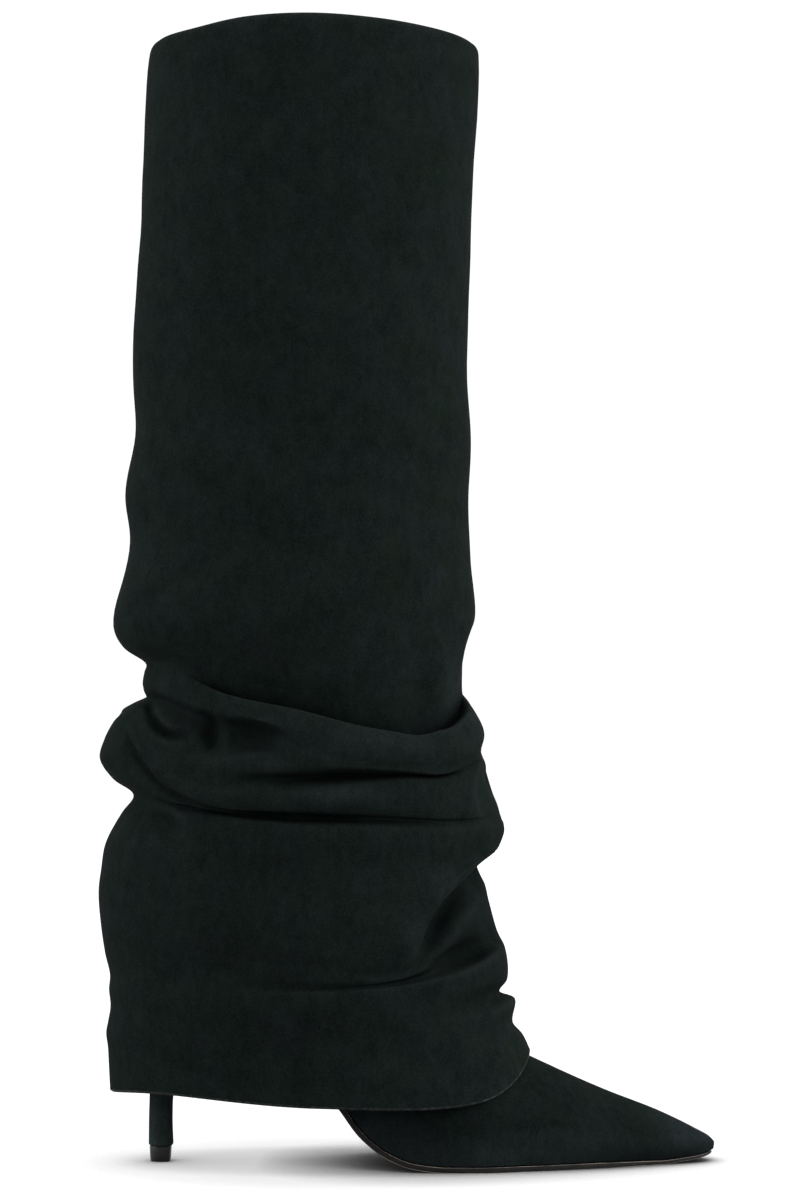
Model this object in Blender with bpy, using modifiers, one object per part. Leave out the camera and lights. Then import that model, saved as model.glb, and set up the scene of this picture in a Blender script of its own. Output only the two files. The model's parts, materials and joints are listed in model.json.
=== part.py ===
"""Right knee boot in black suede: a pointed foot on a slim high heel, with a fold-over outer shaft.

The shaft is folded outward at the collar and hangs down over the leg to the heel, where it slouches.
Tables and sizes are in millimetres: x runs forward from the back of the counter, y towards the
medial side, z up from the floor. Meshes are made in metres and centred over the origin at the end.
"""

import math

import bmesh
import bpy
import numpy as np

MM = 0.001

# Driving sizes of the boot
BOOT_HEIGHT = 469.2
TOE_X = 245.6
HEEL_BACK_X = 1.5
SOLE_THICK = 2.2
INSOLE_THICK = 1.6
UPPER_WALL = 1.6
SHAFT_WALL = 1.5
SEAM_GAP = 0.3
FEATHER_GAP = 0.6

# Ends of the sole's outline
HEEL_ROUND = 27.0
TOE_ROUND = 6.0
INSOLE_INSET = UPPER_WALL + 3 * SEAM_GAP
INSOLE_TOE_TRIM = 7.0
SOLE_INSET = 0.4
SOLE_TOE_TRIM = 1.2

# The outsole is skived from the ball to the toe, down to this share of its thickness
SKIVE_START_X = 195.0
SKIVED_SHARE = 0.45

# Roll of the folded collar and the leg's edge that stands inside it
ROLL_WIDTH = 7.4
TURN_IN_DEPTH = 20.0
COLLAR_TOP = BOOT_HEIGHT - 4.8

# Heel column and its top piece
TIP_HEIGHT = 6.4
TIP_BACK_X = 10.6
TIP_BREAST_X = 19.6
TIP_HALF = 4.5
TIP_TAPER = 0.3

# Mesh fineness
SHAFT_COLUMNS = 30
DEEP_FOLD = 4.0
UPPER_COLUMNS = 23
UPPER_SECTIONS = 38
SOLE_STATIONS = 36
SOLE_STRIPS = 4
HEEL_RING = 20

# Bottom of the outsole along the foot: toe spring, tread, arch and heel seat
PROFILE_COLUMNS = ("x", "z")
PROFILE = (
    (1.5, 91.5),
    (20.0, 87.0),
    (42.0, 76.5),
    (58.0, 62.0),
    (74.0, 43.8),
    (89.3, 24.4),
    (98.4, 12.8),
    (108.8, 5.2),
    (120.0, 1.3),
    (134.0, 0.0),
    (221.0, 0.0),
    (232.0, 1.0),
    (239.0, 2.1),
    (TOE_X, 3.8),
)

# Half-widths of the foot at the feather line
OUTLINE_COLUMNS = ("x", "lateral", "medial")
OUTLINE = (
    (1.5, 27.0, 27.0),
    (25.0, 27.5, 27.0),
    (50.0, 25.5, 23.5),
    (75.0, 24.5, 21.5),
    (100.0, 30.5, 25.5),
    (125.0, 37.0, 32.5),
    (145.0, 37.5, 35.5),
    (165.0, 33.0, 34.0),
    (190.0, 25.5, 28.0),
    (220.0, 12.8, 17.5),
    (TOE_X, 3.6, 8.4),
)

# Sections of the foot from the toe to the back of the heel. Each stands on the sole at sole_x.
FOOT_COLUMNS = ("sole_x", "ridge_x", "ridge_z", "widest", "widest_at", "crown")
FOOT = (
    (244.7, 244.9, 7.8, 2.8, 0.50, 2.00),
    (242.6, 243.0, 9.8, 6.2, 0.42, 2.00),
    (235.6, 236.0, 13.7, 11.0, 0.36, 1.95),
    (222.0, 222.0, 20.4, 17.4, 0.30, 1.85),
    (200.0, 199.4, 29.2, 26.4, 0.27, 1.80),
    (178.0, 177.6, 38.8, 32.6, 0.25, 1.74),
    (158.0, 159.8, 47.4, 35.8, 0.24, 1.68),
    (138.0, 144.0, 57.0, 37.8, 0.24, 1.70),
    (118.0, 130.5, 70.0, 36.2, 0.26, 1.75),
    (100.0, 120.5, 87.5, 33.0, 0.30, 1.85),
    (82.0, 113.5, 107.0, 31.0, 0.36, 1.95),
    (62.0, 109.5, 125.5, 31.2, 0.40, 2.00),
    (42.0, 107.0, 142.0, 32.0, 0.43, 2.00),
    (22.0, 105.8, 156.0, 33.0, 0.45, 2.00),
    (8.0, 105.0, 167.5, 33.2, 0.46, 2.00),
)

# Sections of the inner leg from the counter to the collar
LEG_COLUMNS = ("back_x", "back_z", "front_x", "front_z", "widest", "widest_at")
LEG = (
    (HEEL_BACK_X, 94.4, 104.8, 173.5, 33.2, 0.47),
    (0.2, 108.0, 104.6, 180.0, 33.2, 0.48),
    (1.0, 121.0, 104.3, 190.0, 33.2, 0.49),
    (4.0, 137.0, 104.0, 202.0, 33.4, 0.50),
    (8.8, 156.0, 104.3, 214.0, 34.2, 0.50),
    (13.0, 180.0, 105.5, 229.0, 36.2, 0.50),
    (15.2, 210.0, 109.0, 250.0, 39.5, 0.50),
    (14.5, 250.0, 116.0, 280.0, 43.5, 0.50),
    (11.0, 305.0, 127.5, 322.0, 47.0, 0.50),
    (8.4, 360.0, 137.0, 368.0, 48.8, 0.50),
    (8.6, 415.0, 142.0, 417.0, 49.6, 0.50),
    (9.7, 446.0, 143.9, 446.0, 49.4, 0.50),
    (10.7, COLLAR_TOP, 144.8, COLLAR_TOP, 49.1, 0.50),
)

# Heel below the sole: heights at its back and at its breast, and the section's reach there
HEEL_COLUMNS = ("back_z", "breast_z", "back_x", "breast_x", "half")
HEEL = (
    (82.0, 69.0, 3.6, 41.0, 22.6),
    (70.0, 60.5, 5.6, 34.5, 17.2),
    (56.0, 51.5, 8.2, 28.0, 11.4),
    (42.0, 40.5, 10.0, 23.2, 7.4),
    (29.0, 28.8, 10.4, 20.4, 5.4),
    (18.0, 18.0, 10.2, 19.9, 5.0),
    (TIP_HEIGHT + SEAM_GAP, TIP_HEIGHT + SEAM_GAP, 10.2, 20.3, 5.2),
)
SEAT_BREAST_X = 47.0
SEAT_HALF = 25.4

# Smooth body of the outer shaft
PLAN_COLUMNS = ("z", "back", "front", "half")
PLAN = (
    (28.0, -5.8, 170.5, 50.5),
    (50.0, -6.8, 165.0, 51.5),
    (75.0, -6.5, 158.5, 53.0),
    (110.0, -8.0, 154.0, 54.0),
    (140.0, -4.0, 153.0, 54.0),
    (165.0, -2.0, 150.0, 53.5),
    (195.0, 3.0, 144.0, 53.0),
    (225.0, 1.0, 143.5, 53.5),
    (270.0, 0.5, 143.0, 54.0),
    (330.0, 1.5, 142.5, 54.0),
    (400.0, 4.4, 144.8, 53.0),
    (469.2, 7.8, 147.8, 52.0),
)

# Fold lines of the outer shaft from the turned-in edge to the hem, in the order of the leather.
# Heights, then how far each stands out of the smooth body, at five places on the lateral side.
# On the medial side the heights move by lift and the reliefs are scaled by ease.
FOLD_COLUMNS = ("name", "heights", "reliefs", "lift", "ease")
FOLD_PLACES = ("back", "back_side", "side", "front_side", "front")
RIM_RISE = (0.0, 0.2, 1.4, 0.0, 0.6)


def rim(name, drop, relief):
    """A fold line of the collar's roll, which rises a little at the side."""
    heights = tuple(BOOT_HEIGHT + rise - drop for rise in RIM_RISE)
    return (name, heights, (relief,) * len(FOLD_PLACES), 0.0, 1.0)


FOLDS = (
    rim("turned-in edge", TURN_IN_DEPTH, -ROLL_WIDTH),
    rim("turned-in wall", 6.0, -ROLL_WIDTH),
    rim("roll inside", 1.3, -0.78 * ROLL_WIDTH),
    rim("roll top", 0.0, -0.48 * ROLL_WIDTH),
    rim("roll outside", 1.3, -0.18 * ROLL_WIDTH),
    rim("collar", 6.5, 0.0),
    ("calf", (395, 395, 395, 395, 395), (0.0, 0.0, 0.0, 0.0, 0.2), 0, 1.0),
    ("upper swell", (335, 335, 335, 333, 328), (0.2, 0.0, 0.0, 0.0, 0.6), 3, 1.0),
    ("soft dip", (305, 306, 304, 302, 301), (-1.8, -0.5, 0.0, 0.5, 1.6), 4, 0.8),
    ("soft crest", (277, 277, 276, 275, 275), (2.1, 1.0, 0.3, 0.0, -0.1), 4, 0.9),
    ("second dip", (257, 257, 256, 256, 257), (-0.1, 0.4, 0.2, 0.4, 0.7), 2, 1.0),
    ("low crest", (222, 224, 222, 219, 227), (7.1, 4.6, 1.4, 1.6, 3.0), 4, 0.9),
    ("under the crest", (213, 211, 202, 194, 211), (3.6, 2.6, 0.4, 0.2, -2.6), 5, 0.9),
    ("tuck one", (206, 198, 184, 171, 195), (-5.3, -3.2, -1.8, -2.4, -4.2), 6, 0.9),
    ("lip of band one", (203, 201, 187, 178, 190), (-4.4, 0.4, 2.2, 3.0, -1.0), 6, 0.9),
    ("band one", (198, 192, 178, 171, 179), (-3.6, 1.8, 5.0, 5.4, 2.0), 6, 1.0),
    ("back pocket", (192.5, 177, 172, 167.5, 175), (-5.2, -3.2, 4.8, 5.2, 1.4), 6, 0.9),
    ("under band one", (189, 170, 164, 162, 172), (0.2, 1.6, 3.4, 3.6, -0.4), 5, 1.0),
    ("tuck two", (186, 165, 161, 160, 170), (3.2, 3.2, -2.8, -2.6, -1.6), 5, 1.0),
    ("lip of band two", (183, 161, 157, 156, 163), (5.8, 4.0, 1.2, 1.6, 0.2), 5, 1.0),
    ("band two", (180, 156, 151, 149, 152), (7.2, 4.4, 3.6, 2.6, 1.0), 4, 1.0),
    ("under band two", (177, 152.5, 144.5, 143, 146), (8.2, 3.6, 2.2, 1.2, 2.8), 4, 0.9),
    ("tuck three", (174, 150.2, 142.6, 141, 143), (8.8, -0.8, -2.4, -1.6, 2.9), 4, 0.9),
    ("back bulge", (166.5, 149.2, 142, 140.4, 142), (9.1, 0.4, -3.0, -1.9, 3.1), 4, 0.9),
    ("under the bulge", (158, 148, 141.5, 140, 141), (2.8, 0.2, -3.0, -1.9, 3.4), 4, 0.9),
    ("tuck at the back", (151.3, 146.6, 140.8, 139.5, 140), (-6.0, -1.4, -2.4, -1.5, 3.7), 4, 0.9),
    ("crown of the panel", (144, 143, 138, 137, 137), (-1.8, 0.4, 1.4, 2.0, 4.5), 3, 0.9),
    ("panel", (131, 128, 122, 122, 133), (3.4, 1.4, 1.4, 1.4, 3.4), 2, 1.0),
    ("brow of the panel", (112, 108, 98, 108, 129), (3.6, 1.6, 0.8, 2.2, -3.0), 2, 1.0),
    ("tuck four", (96, 92, 87, 101, 125), (2.9, 0.9, 0.0, -4.8, -10.0), 2, 0.9),
    ("inner ridge", (86, 85, 81, 90, 111), (1.7, 0.5, -0.4, -1.6, -3.0), 2, 0.9),
    ("tuck five", (77, 77, 76, 82, 95), (-0.4, 0.0, -1.6, -3.4, -1.0), 2, 0.9),
    ("lip of band three", (71, 71, 72, 79, 87), (0.0, 0.3, 0.8, 1.0, 1.4), 2, 1.0),
    ("band three", (64, 64, 66, 72, 78), (-0.6, 0.2, 1.0, 2.0, 1.2), 2, 1.0),
    ("tuck six", (58, 59, 59, 65, 70), (0.2, 0.2, 0.2, -0.4, -4.0), 1, 1.0),
    ("band four", (53, 53, 53, 59, 64.5), (0.9, 0.0, 0.0, 0.6, 1.3), 1, 1.0),
    ("tuck seven", (47, 48, 47, 52, 60), (0.2, -0.4, 0.0, 1.2, -1.2), 0, 1.0),
    ("above the hem", (38, 40, 36, 39, 52), (0.0, -0.4, 0.0, 2.8, 0.8), 0, 1.0),
    ("hem", (29.5, 31.5, 27.6, 28.4, 45.8), (0.0, 0.0, 0.0, 3.8, 2.2), 0, 1.0),
)


# Curves


def smooth(table, column, at):
    """Reads one column of a table at any place, on a cubic that never overshoots its rows."""
    rows = np.array([row[:1] + (row[column],) for row in table], float)
    xs, ys = rows[:, 0], rows[:, 1]
    gaps = np.diff(xs)
    rises = np.diff(ys) / gaps
    slopes = np.zeros(len(xs))
    slopes[0], slopes[-1] = rises[0], rises[-1]
    same_way = rises[:-1] * rises[1:] > 0
    mean = 2 * rises[:-1] * rises[1:] / np.where(same_way, rises[:-1] + rises[1:], 1)
    slopes[1:-1] = np.where(same_way, mean, 0)
    at = np.clip(np.asarray(at, float), xs[0], xs[-1])
    i = np.clip(np.searchsorted(xs, at) - 1, 0, len(xs) - 2)
    t = (at - xs[i]) / gaps[i]
    keep = (1 + 2 * t) * (1 - t) ** 2 * ys[i] + t * t * (3 - 2 * t) * ys[i + 1]
    lean = t * (1 - t) ** 2 * slopes[i] - t * t * (1 - t) * slopes[i + 1]
    return keep + gaps[i] * lean


def resample(rows, count):
    """A table of sections made finer: count rows, evenly spread over the given ones."""
    indexed = [(float(i),) + tuple(row) for i, row in enumerate(rows)]
    at = np.linspace(0, len(rows) - 1, count)
    columns = [smooth(indexed, c + 1, at) for c in range(len(rows[0]))]
    return np.stack(columns, axis=1)


def round_about(values, angles):
    """Values evenly spread on a ring, read at any angle on a periodic cubic."""
    values = np.asarray(values, float)
    place = np.asarray(angles) * len(values) / (2 * math.pi)
    i = np.floor(place).astype(int)
    t = place - i
    before, start, end, after = (values[(i + k) % len(values)] for k in (-1, 0, 1, 2))
    cubic = 3 * (start - end) + after - before
    square = 2 * before - 5 * start + 4 * end - after
    return start + 0.5 * t * (end - before + t * (square + t * cubic))


def finer(grid, steps):
    """Rows of points on a centripetal cubic through the given ones, with steps[i] rows in span i."""
    ends = np.concatenate([2 * grid[:1] - grid[1:2], grid, 2 * grid[-1:] - grid[-2:-1]])
    made = []
    for p0, p1, p2, p3, count in zip(ends, ends[1:], ends[2:], ends[3:], steps):
        d1, d2, d3 = (
            np.maximum(np.linalg.norm(b - a, axis=1, keepdims=True), 1e-6) ** 0.5
            for a, b in ((p0, p1), (p1, p2), (p2, p3))
        )
        m1 = d2 * ((p1 - p0) / d1 - (p2 - p0) / (d1 + d2)) + p2 - p1
        m2 = d2 * ((p3 - p2) / d3 - (p3 - p1) / (d2 + d3)) + p2 - p1
        for t in np.arange(count) / count:
            keep = (1 + 2 * t) * (1 - t) ** 2 * p1 + t * t * (3 - 2 * t) * p2
            made.append(keep + t * (1 - t) ** 2 * m1 - t * t * (1 - t) * m2)
    return np.array(made + [grid[-1]])


# The last: sole line, outline and sections


def sole_point(x, lift):
    """Point (x, z) at a height above the outsole's bottom, square to it."""
    step = 0.5
    slope = (smooth(PROFILE, 1, x + step) - smooth(PROFILE, 1, x - step)) / (2 * step)
    size = np.sqrt(1 + slope**2)
    return x - lift * slope / size, smooth(PROFILE, 1, x) + lift / size


def skive(x):
    """Share of the outsole's thickness at x: whole to the ball, thinner at the toe."""
    along = np.clip((x - SKIVE_START_X) / (TOE_X - SKIVE_START_X), 0, 1)
    return 1 - (1 - SKIVED_SHARE) * along


def sole_top(x):
    """Height above the outsole's bottom at which the upper and the insole stand."""
    return SOLE_THICK * skive(x) + FEATHER_GAP


def half_widths(x, inset=0.0, toe_trim=0.0):
    """Lateral and medial edges of the foot at x, round at the heel and the toe."""
    back = np.clip((x - HEEL_BACK_X - inset) / HEEL_ROUND, 0, 1)
    front = np.clip((TOE_X - inset - toe_trim - x) / TOE_ROUND, 0, 1)
    ends = np.sqrt(1 - (1 - back) ** 2) * np.sqrt(1 - (1 - front) ** 2)
    lateral, medial = smooth(OUTLINE, 1, x), smooth(OUTLINE, 2, x)
    middle = (medial - lateral) / 2
    half = np.maximum((medial + lateral) / 2 - inset, 0) * ends
    return middle - half, middle + half


def upper_sections():
    """Rows of (bottom x and z, ridge x and z, feather half, middle y, widest, widest_at, crown)."""
    heel_back = (LEG[0][0], *LEG[0][2:], 2.0)
    foot_count = round(UPPER_SECTIONS * len(FOOT) / (len(FOOT) + len(LEG)))
    rows = []
    for sole_x, *ridge, widest, widest_at, crown in resample(FOOT + (heel_back,), foot_count)[:-1]:
        lateral, medial = half_widths(sole_x)
        half, middle = (medial - lateral) / 2, (medial + lateral) / 2
        bottom = sole_point(sole_x, sole_top(sole_x))
        rows.append((*bottom, *ridge, half, middle, widest, widest_at, crown))
    for *ends, widest, widest_at in resample(LEG, UPPER_SECTIONS - foot_count + 1):
        rows.append((*ends, 0.0, 0.0, widest, widest_at, 2.0))
    return rows


def section(row, columns):
    """Points of one section, from the lateral feather over the ridge to the medial feather."""
    bottom_x, bottom_z, ridge_x, ridge_z, feather, middle, widest, widest_at, crown = row
    across = np.linspace(-1, 1, columns)
    crown_share = 0.5 + 0.1 * feather / widest
    on_crown = np.abs(across) / crown_share
    on_flank = 1 + (np.abs(across) - crown_share) / (1 - crown_share)
    turn = np.where(np.abs(across) < crown_share, on_crown, on_flank) * (math.pi / 2)
    below = np.maximum(turn - math.pi / 2, 0)
    above = np.minimum(turn, math.pi / 2)
    arch = widest_at + (1 - widest_at) * np.maximum(np.cos(above), 0) ** (2 / crown)
    rise = np.where(turn < math.pi / 2, arch, widest_at * (1 - np.sin(below)))
    round_under = 1 + feather / widest
    flank = feather + (widest - feather) * np.maximum(np.cos(below), 0) ** round_under
    half = np.where(turn < math.pi / 2, widest * np.sin(above) ** (2 / crown), flank)
    x = bottom_x + (ridge_x - bottom_x) * rise
    z = bottom_z + (ridge_z - bottom_z) * rise
    return np.stack([x, middle + np.sign(across) * half, z], axis=1)


# The outer shaft


def both_sides(lateral, medial):
    """Values from back to front on both sides, as one ring that starts at the front."""
    return np.concatenate([lateral[-1:], medial[-2:0:-1], lateral[:-1]])


def fold_ring(fold, angles):
    """One fold line of the outer shaft as a ring of points."""
    _, heights, reliefs, lift, ease = fold
    heights, reliefs = np.array(heights, float), np.array(reliefs, float)
    side_share = np.sin(np.linspace(0, math.pi, len(heights)))
    z = round_about(both_sides(heights, heights + lift * side_share), angles)
    out = round_about(both_sides(reliefs, reliefs * ease), angles)
    rear, fore, half = (smooth(PLAN, column, z) for column in (1, 2, 3))
    reach = (fore - rear) / 2
    along, across = np.cos(angles) / reach, np.sin(angles) / half
    size = np.hypot(along, across)
    x = (fore + rear) / 2 + reach * np.cos(angles) + out * along / size
    y = half * np.sin(angles) + out * across / size
    return np.stack([x, y, z], axis=1)


# Meshes


def new_object(name, mesh, material, parent, collection):
    obj = bpy.data.objects.new(name, mesh)
    mesh.materials.append(material)
    mesh.shade_smooth()
    mesh.set_sharp_from_angle(angle=math.radians(40))
    obj.parent = parent
    collection.objects.link(obj)
    return obj


def loft(name, rows, closed=False, cap_start=False, cap_end=False):
    """A mesh over rows of points (millimetres); closed joins each row's ends, and caps fill an end row."""
    mesh = bpy.data.meshes.new(name)
    shape = bmesh.new()
    grid = [[shape.verts.new([c * MM for c in point]) for point in row] for row in rows]
    count = len(grid[0])
    for low, high in zip(grid, grid[1:]):
        for i in range(count if closed else count - 1):
            j = (i + 1) % count
            shape.faces.new((low[i], low[j], high[j], high[i]))
    if cap_start:
        shape.faces.new(grid[0][::-1])
    if cap_end:
        shape.faces.new(grid[-1])
    bmesh.ops.remove_doubles(shape, verts=shape.verts, dist=1e-6)
    bmesh.ops.dissolve_degenerate(shape, edges=shape.edges, dist=1e-6)
    bmesh.ops.recalc_face_normals(shape, faces=shape.faces)
    shape.to_mesh(mesh)
    shape.free()
    return mesh


def add_wall(obj, thickness, offset):
    wall = obj.modifiers.new("Wall", "SOLIDIFY")
    wall.thickness = thickness * MM
    wall.offset = offset
    wall.use_even_offset = True
    wall.use_quality_normals = True


def sole_sheet(inset, toe_trim, lift_at):
    """Rows of points across the sole, from the heel to the toe, at the heights lift_at gives above it."""
    turn = np.linspace(0, math.pi, SOLE_STATIONS)
    start, end = HEEL_BACK_X + inset, TOE_X - inset - toe_trim
    even = (1 - np.cos(turn)) / 2
    share = 0.5 * even + 0.5 * np.linspace(0, 1, SOLE_STATIONS)
    rows = []
    for x in start + (end - start) * share:
        lateral, medial = half_widths(x, inset, toe_trim)
        px, pz = sole_point(x, lift_at(x))
        rows.append([(px, y, pz) for y in np.linspace(lateral, medial, SOLE_STRIPS + 1)])
    return rows


def make_outsole(material, parent, collection):
    mesh = loft("outsole", sole_sheet(SOLE_INSET, SOLE_TOE_TRIM, lambda x: 0.0))
    outsole = new_object("outsole", mesh, material, parent, collection)
    add_wall(outsole, SOLE_THICK, 1 if mesh.polygons[0].normal.z > 0 else -1)
    thickness = outsole.vertex_groups.new(name="thickness")
    for vertex in mesh.vertices:
        thickness.add([vertex.index], float(skive(vertex.co.x / MM)), "REPLACE")
    outsole.modifiers["Wall"].vertex_group = thickness.name
    return outsole


def make_insole(material, parent, collection):
    mesh = loft("insole", sole_sheet(INSOLE_INSET, INSOLE_TOE_TRIM, sole_top))
    insole = new_object("insole", mesh, material, parent, collection)
    add_wall(insole, INSOLE_THICK, 1 if mesh.polygons[0].normal.z > 0 else -1)
    return insole


def heel_ring(back_x, breast_x, half, height_at):
    """A section of the heel: round at the back, with a flat breast."""
    points = []
    for i in range(HEEL_RING):
        turn = 2 * math.pi * i / HEEL_RING
        square = 2.0 if math.cos(turn) < 0 else 4.5
        along = math.copysign(abs(math.cos(turn)) ** (2 / square), math.cos(turn))
        across = math.copysign(abs(math.sin(turn)) ** (2 / square), math.sin(turn))
        x = (back_x + breast_x) / 2 + (breast_x - back_x) / 2 * along
        points.append((x, half * across, height_at(x)))
    return points


def make_heel(material, parent, collection):
    def seat(x):
        return float(sole_point(np.array(x), -SEAM_GAP)[1])

    rows = [heel_ring(HEEL_BACK_X + 1.0, SEAT_BREAST_X, SEAT_HALF, seat)]
    for back_z, breast_z, back_x, breast_x, half in HEEL:
        slope = (breast_z - back_z) / (breast_x - back_x)
        rows.append(heel_ring(back_x, breast_x, half, lambda x: back_z + slope * (x - back_x)))
    mesh = loft("heel", rows, closed=True, cap_start=True, cap_end=True)
    return new_object("heel", mesh, material, parent, collection)


def make_heel_tip(material, parent, collection):
    rows = [
        heel_ring(TIP_BACK_X + inset, TIP_BREAST_X - inset, TIP_HALF - inset, lambda x: z)
        for z, inset in ((TIP_HEIGHT, 0.0), (1.0, TIP_TAPER), (0.0, 2 * TIP_TAPER))
    ]
    mesh = loft("heel_tip", rows, closed=True, cap_start=True, cap_end=True)
    return new_object("heel_tip", mesh, material, parent, collection)


def make_upper(material, parent, collection):
    rows = [section(row, UPPER_COLUMNS) for row in upper_sections()]
    mesh = loft("upper", rows, cap_start=True)
    upper = new_object("upper", mesh, material, parent, collection)
    add_wall(upper, UPPER_WALL, -1)
    return upper


def make_shaft(material, parent, collection):
    angles = np.arange(SHAFT_COLUMNS) * 2 * math.pi / SHAFT_COLUMNS
    lines = np.array([fold_ring(fold, angles) for fold in FOLDS])
    reliefs = np.array([fold[2] for fold in FOLDS])
    steps = np.where(np.abs(np.diff(reliefs, axis=0)).max(axis=1) > DEEP_FOLD, 2, 1)
    mesh = loft("fold_over_shaft", finer(lines, steps), closed=True)
    shaft = new_object("fold_over_shaft", mesh, material, parent, collection)
    add_wall(shaft, SHAFT_WALL, -1)
    return shaft


# Materials and assembly


def new_material(name, colour, roughness):
    material = bpy.data.materials.new(name)
    material.use_nodes = True
    shader = material.node_tree.nodes["Principled BSDF"]
    shader.inputs["Base Color"].default_value = (*colour, 1.0)
    shader.inputs["Roughness"].default_value = roughness
    shader.inputs["Metallic"].default_value = 0.0
    return material


def clear_scene():
    for obj in list(bpy.data.objects):
        bpy.data.objects.remove(obj)


def centre_over_origin(root, parts):
    """Moves the boot so that the middle of its box stands over the origin, with its sole on the floor."""
    bpy.context.view_layer.update()
    graph = bpy.context.evaluated_depsgraph_get()
    corners = [np.array(corner) for part in parts for corner in part.evaluated_get(graph).bound_box]
    low, high = np.min(corners, axis=0), np.max(corners, axis=0)
    root.location = (-(low[0] + high[0]) / 2, -(low[1] + high[1]) / 2, -low[2])
    bpy.context.view_layer.update()


def main():
    clear_scene()
    collection = bpy.data.collections.new("boot")
    bpy.context.scene.collection.children.link(collection)
    root = bpy.data.objects.new("boot_origin", None)
    collection.objects.link(root)

    suede = new_material("black suede", (0.010, 0.014, 0.014), 0.92)
    sole_leather = new_material("black sole leather", (0.014, 0.014, 0.015), 0.42)
    lining = new_material("black lining", (0.020, 0.020, 0.021), 0.70)
    tip_rubber = new_material("black heel rubber", (0.022, 0.023, 0.024), 0.50)

    parts = [
        make_outsole(sole_leather, root, collection),
        make_insole(lining, root, collection),
        make_heel(suede, root, collection),
        make_heel_tip(tip_rubber, root, collection),
        make_upper(suede, root, collection),
        make_shaft(suede, root, collection),
    ]
    centre_over_origin(root, parts)


main()
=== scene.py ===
"""Looks of the fold-over knee boot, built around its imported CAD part.

Each CAD node is replaced by a finer piece of the same form: the outer shaft with its folds and
creases, the upper, the heel and its top piece, the outsole and the insole. Tables are in
millimetres: x runs forward from the back of the counter, y to the medial side, z up from the floor.
"""

import json
import math

import bpy
import numpy as np
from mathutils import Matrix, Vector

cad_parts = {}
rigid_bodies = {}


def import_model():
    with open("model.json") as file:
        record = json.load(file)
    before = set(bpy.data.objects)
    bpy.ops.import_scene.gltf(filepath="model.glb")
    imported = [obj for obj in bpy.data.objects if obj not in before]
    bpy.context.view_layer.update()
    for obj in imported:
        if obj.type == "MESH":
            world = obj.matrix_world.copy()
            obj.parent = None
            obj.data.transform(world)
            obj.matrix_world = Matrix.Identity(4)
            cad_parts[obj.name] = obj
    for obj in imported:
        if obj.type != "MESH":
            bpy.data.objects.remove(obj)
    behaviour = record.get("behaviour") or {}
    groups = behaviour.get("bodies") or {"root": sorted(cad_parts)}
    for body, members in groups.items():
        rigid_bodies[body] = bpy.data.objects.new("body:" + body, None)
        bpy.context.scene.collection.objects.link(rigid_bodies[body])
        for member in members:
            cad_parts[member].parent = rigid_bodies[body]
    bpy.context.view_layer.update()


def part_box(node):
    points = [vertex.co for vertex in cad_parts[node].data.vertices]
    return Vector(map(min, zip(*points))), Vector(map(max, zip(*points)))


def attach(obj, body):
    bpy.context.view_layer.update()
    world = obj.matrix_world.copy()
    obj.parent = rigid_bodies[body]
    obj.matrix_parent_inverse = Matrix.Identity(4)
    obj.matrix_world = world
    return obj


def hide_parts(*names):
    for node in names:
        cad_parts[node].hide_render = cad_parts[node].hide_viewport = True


MM = 0.001

# Driving sizes of the boot
BOOT_HEIGHT = 469.2
TOE_X = 245.6
HEEL_BACK_X = 1.5
SOLE_THICK = 2.2
INSOLE_THICK = 1.6
UPPER_WALL = 1.6
SHAFT_WALL = 1.5
CUT_EDGE = 0.5
HEM_ROUND = 0.55
ROLL_DEPTH = 7.0
INSIDE_REACH = (0.3, 7.0)
SEAM_GAP = 0.3
FEATHER_GAP = 0.6
HEEL_ROUND = 27.0
TOE_ROUND = 6.0
INSOLE_INSET = UPPER_WALL + 3 * SEAM_GAP
INSOLE_TOE_TRIM = 7.0
SOLE_INSET = 0.4
SOLE_TOE_TRIM = 1.2
SKIVE_START_X = 195.0
SKIVED_SHARE = 0.45
ROLL_WIDTH = 7.4
TURN_IN_DEPTH = 20.0
COLLAR_TOP = BOOT_HEIGHT - 4.8
TIP_HEIGHT = 6.4
TIP_BACK_X = 10.6
TIP_BREAST_X = 19.6
TIP_HALF = 4.5
TIP_TAPER = 0.3
EDGE_RADIUS = 0.4
TIP_EDGE_RADIUS = 0.25
EDGE_ANGLE = 40
WELD_REACH = 0.01

# Mesh fineness
SHAFT_COLUMNS = 280
SHAFT_ROW = 1.7
SHAFT_LEAST_ROWS = 2
SHAFT_MOST_ROWS = 9
SHAFT_INSIDE_ROWS = 48
COLLAR_STRIDE = 3
UPPER_COLUMNS = 97
UPPER_SECTIONS = 190
FOOT_SECTIONS_SHARE = 0.62
SOLE_STATIONS = 150
SOLE_EVEN_SHARE = 0.5
SOLE_STRIPS = 16
HEEL_RING = 72
HEEL_STEPS = 7

# Looks: how far around it a surface gets painted shade from what is near, and the even core of a
# painted-light patch
FOLD_SHADE_REACH = 16.0
FLOOR_SHADE_REACH = 42.0
SHADE_SAMPLES = 4
PATCH_CORE = 0.35

# Stage, in metres: the floor with its own light, the lamps and the white studio
FLOOR_REACH = 12.0
FLOOR_LIGHT_PLACE = (0.0, 0.0, 2.0)
FLOOR_LIGHT_ENERGY = 1.8
FLOOR_LIGHT_SPREAD = 150
FLOOR_LIGHT_TILT = -6
LAMP_AIM = (0.0, 0.0, 0.22)
# Columns: name, place, size, watts
LAMPS = (
    ("top", (0.1, -0.1, 1.7), (1.4, 1.0), 16.0),
    ("right", (1.5, -0.5, 0.8), (0.8, 1.4), 37.0),
    ("left", (-1.5, -0.3, 0.8), (0.8, 1.4), 26.0),
)
SKY_STRENGTH = 1.06
SKY_BELOW = 0.55
SKY_FRONT = 0.87
SKY_FRONT_END = 0.3
HORIZON_DROP = 0.06
HORIZON_BLUR = 0.001

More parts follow.
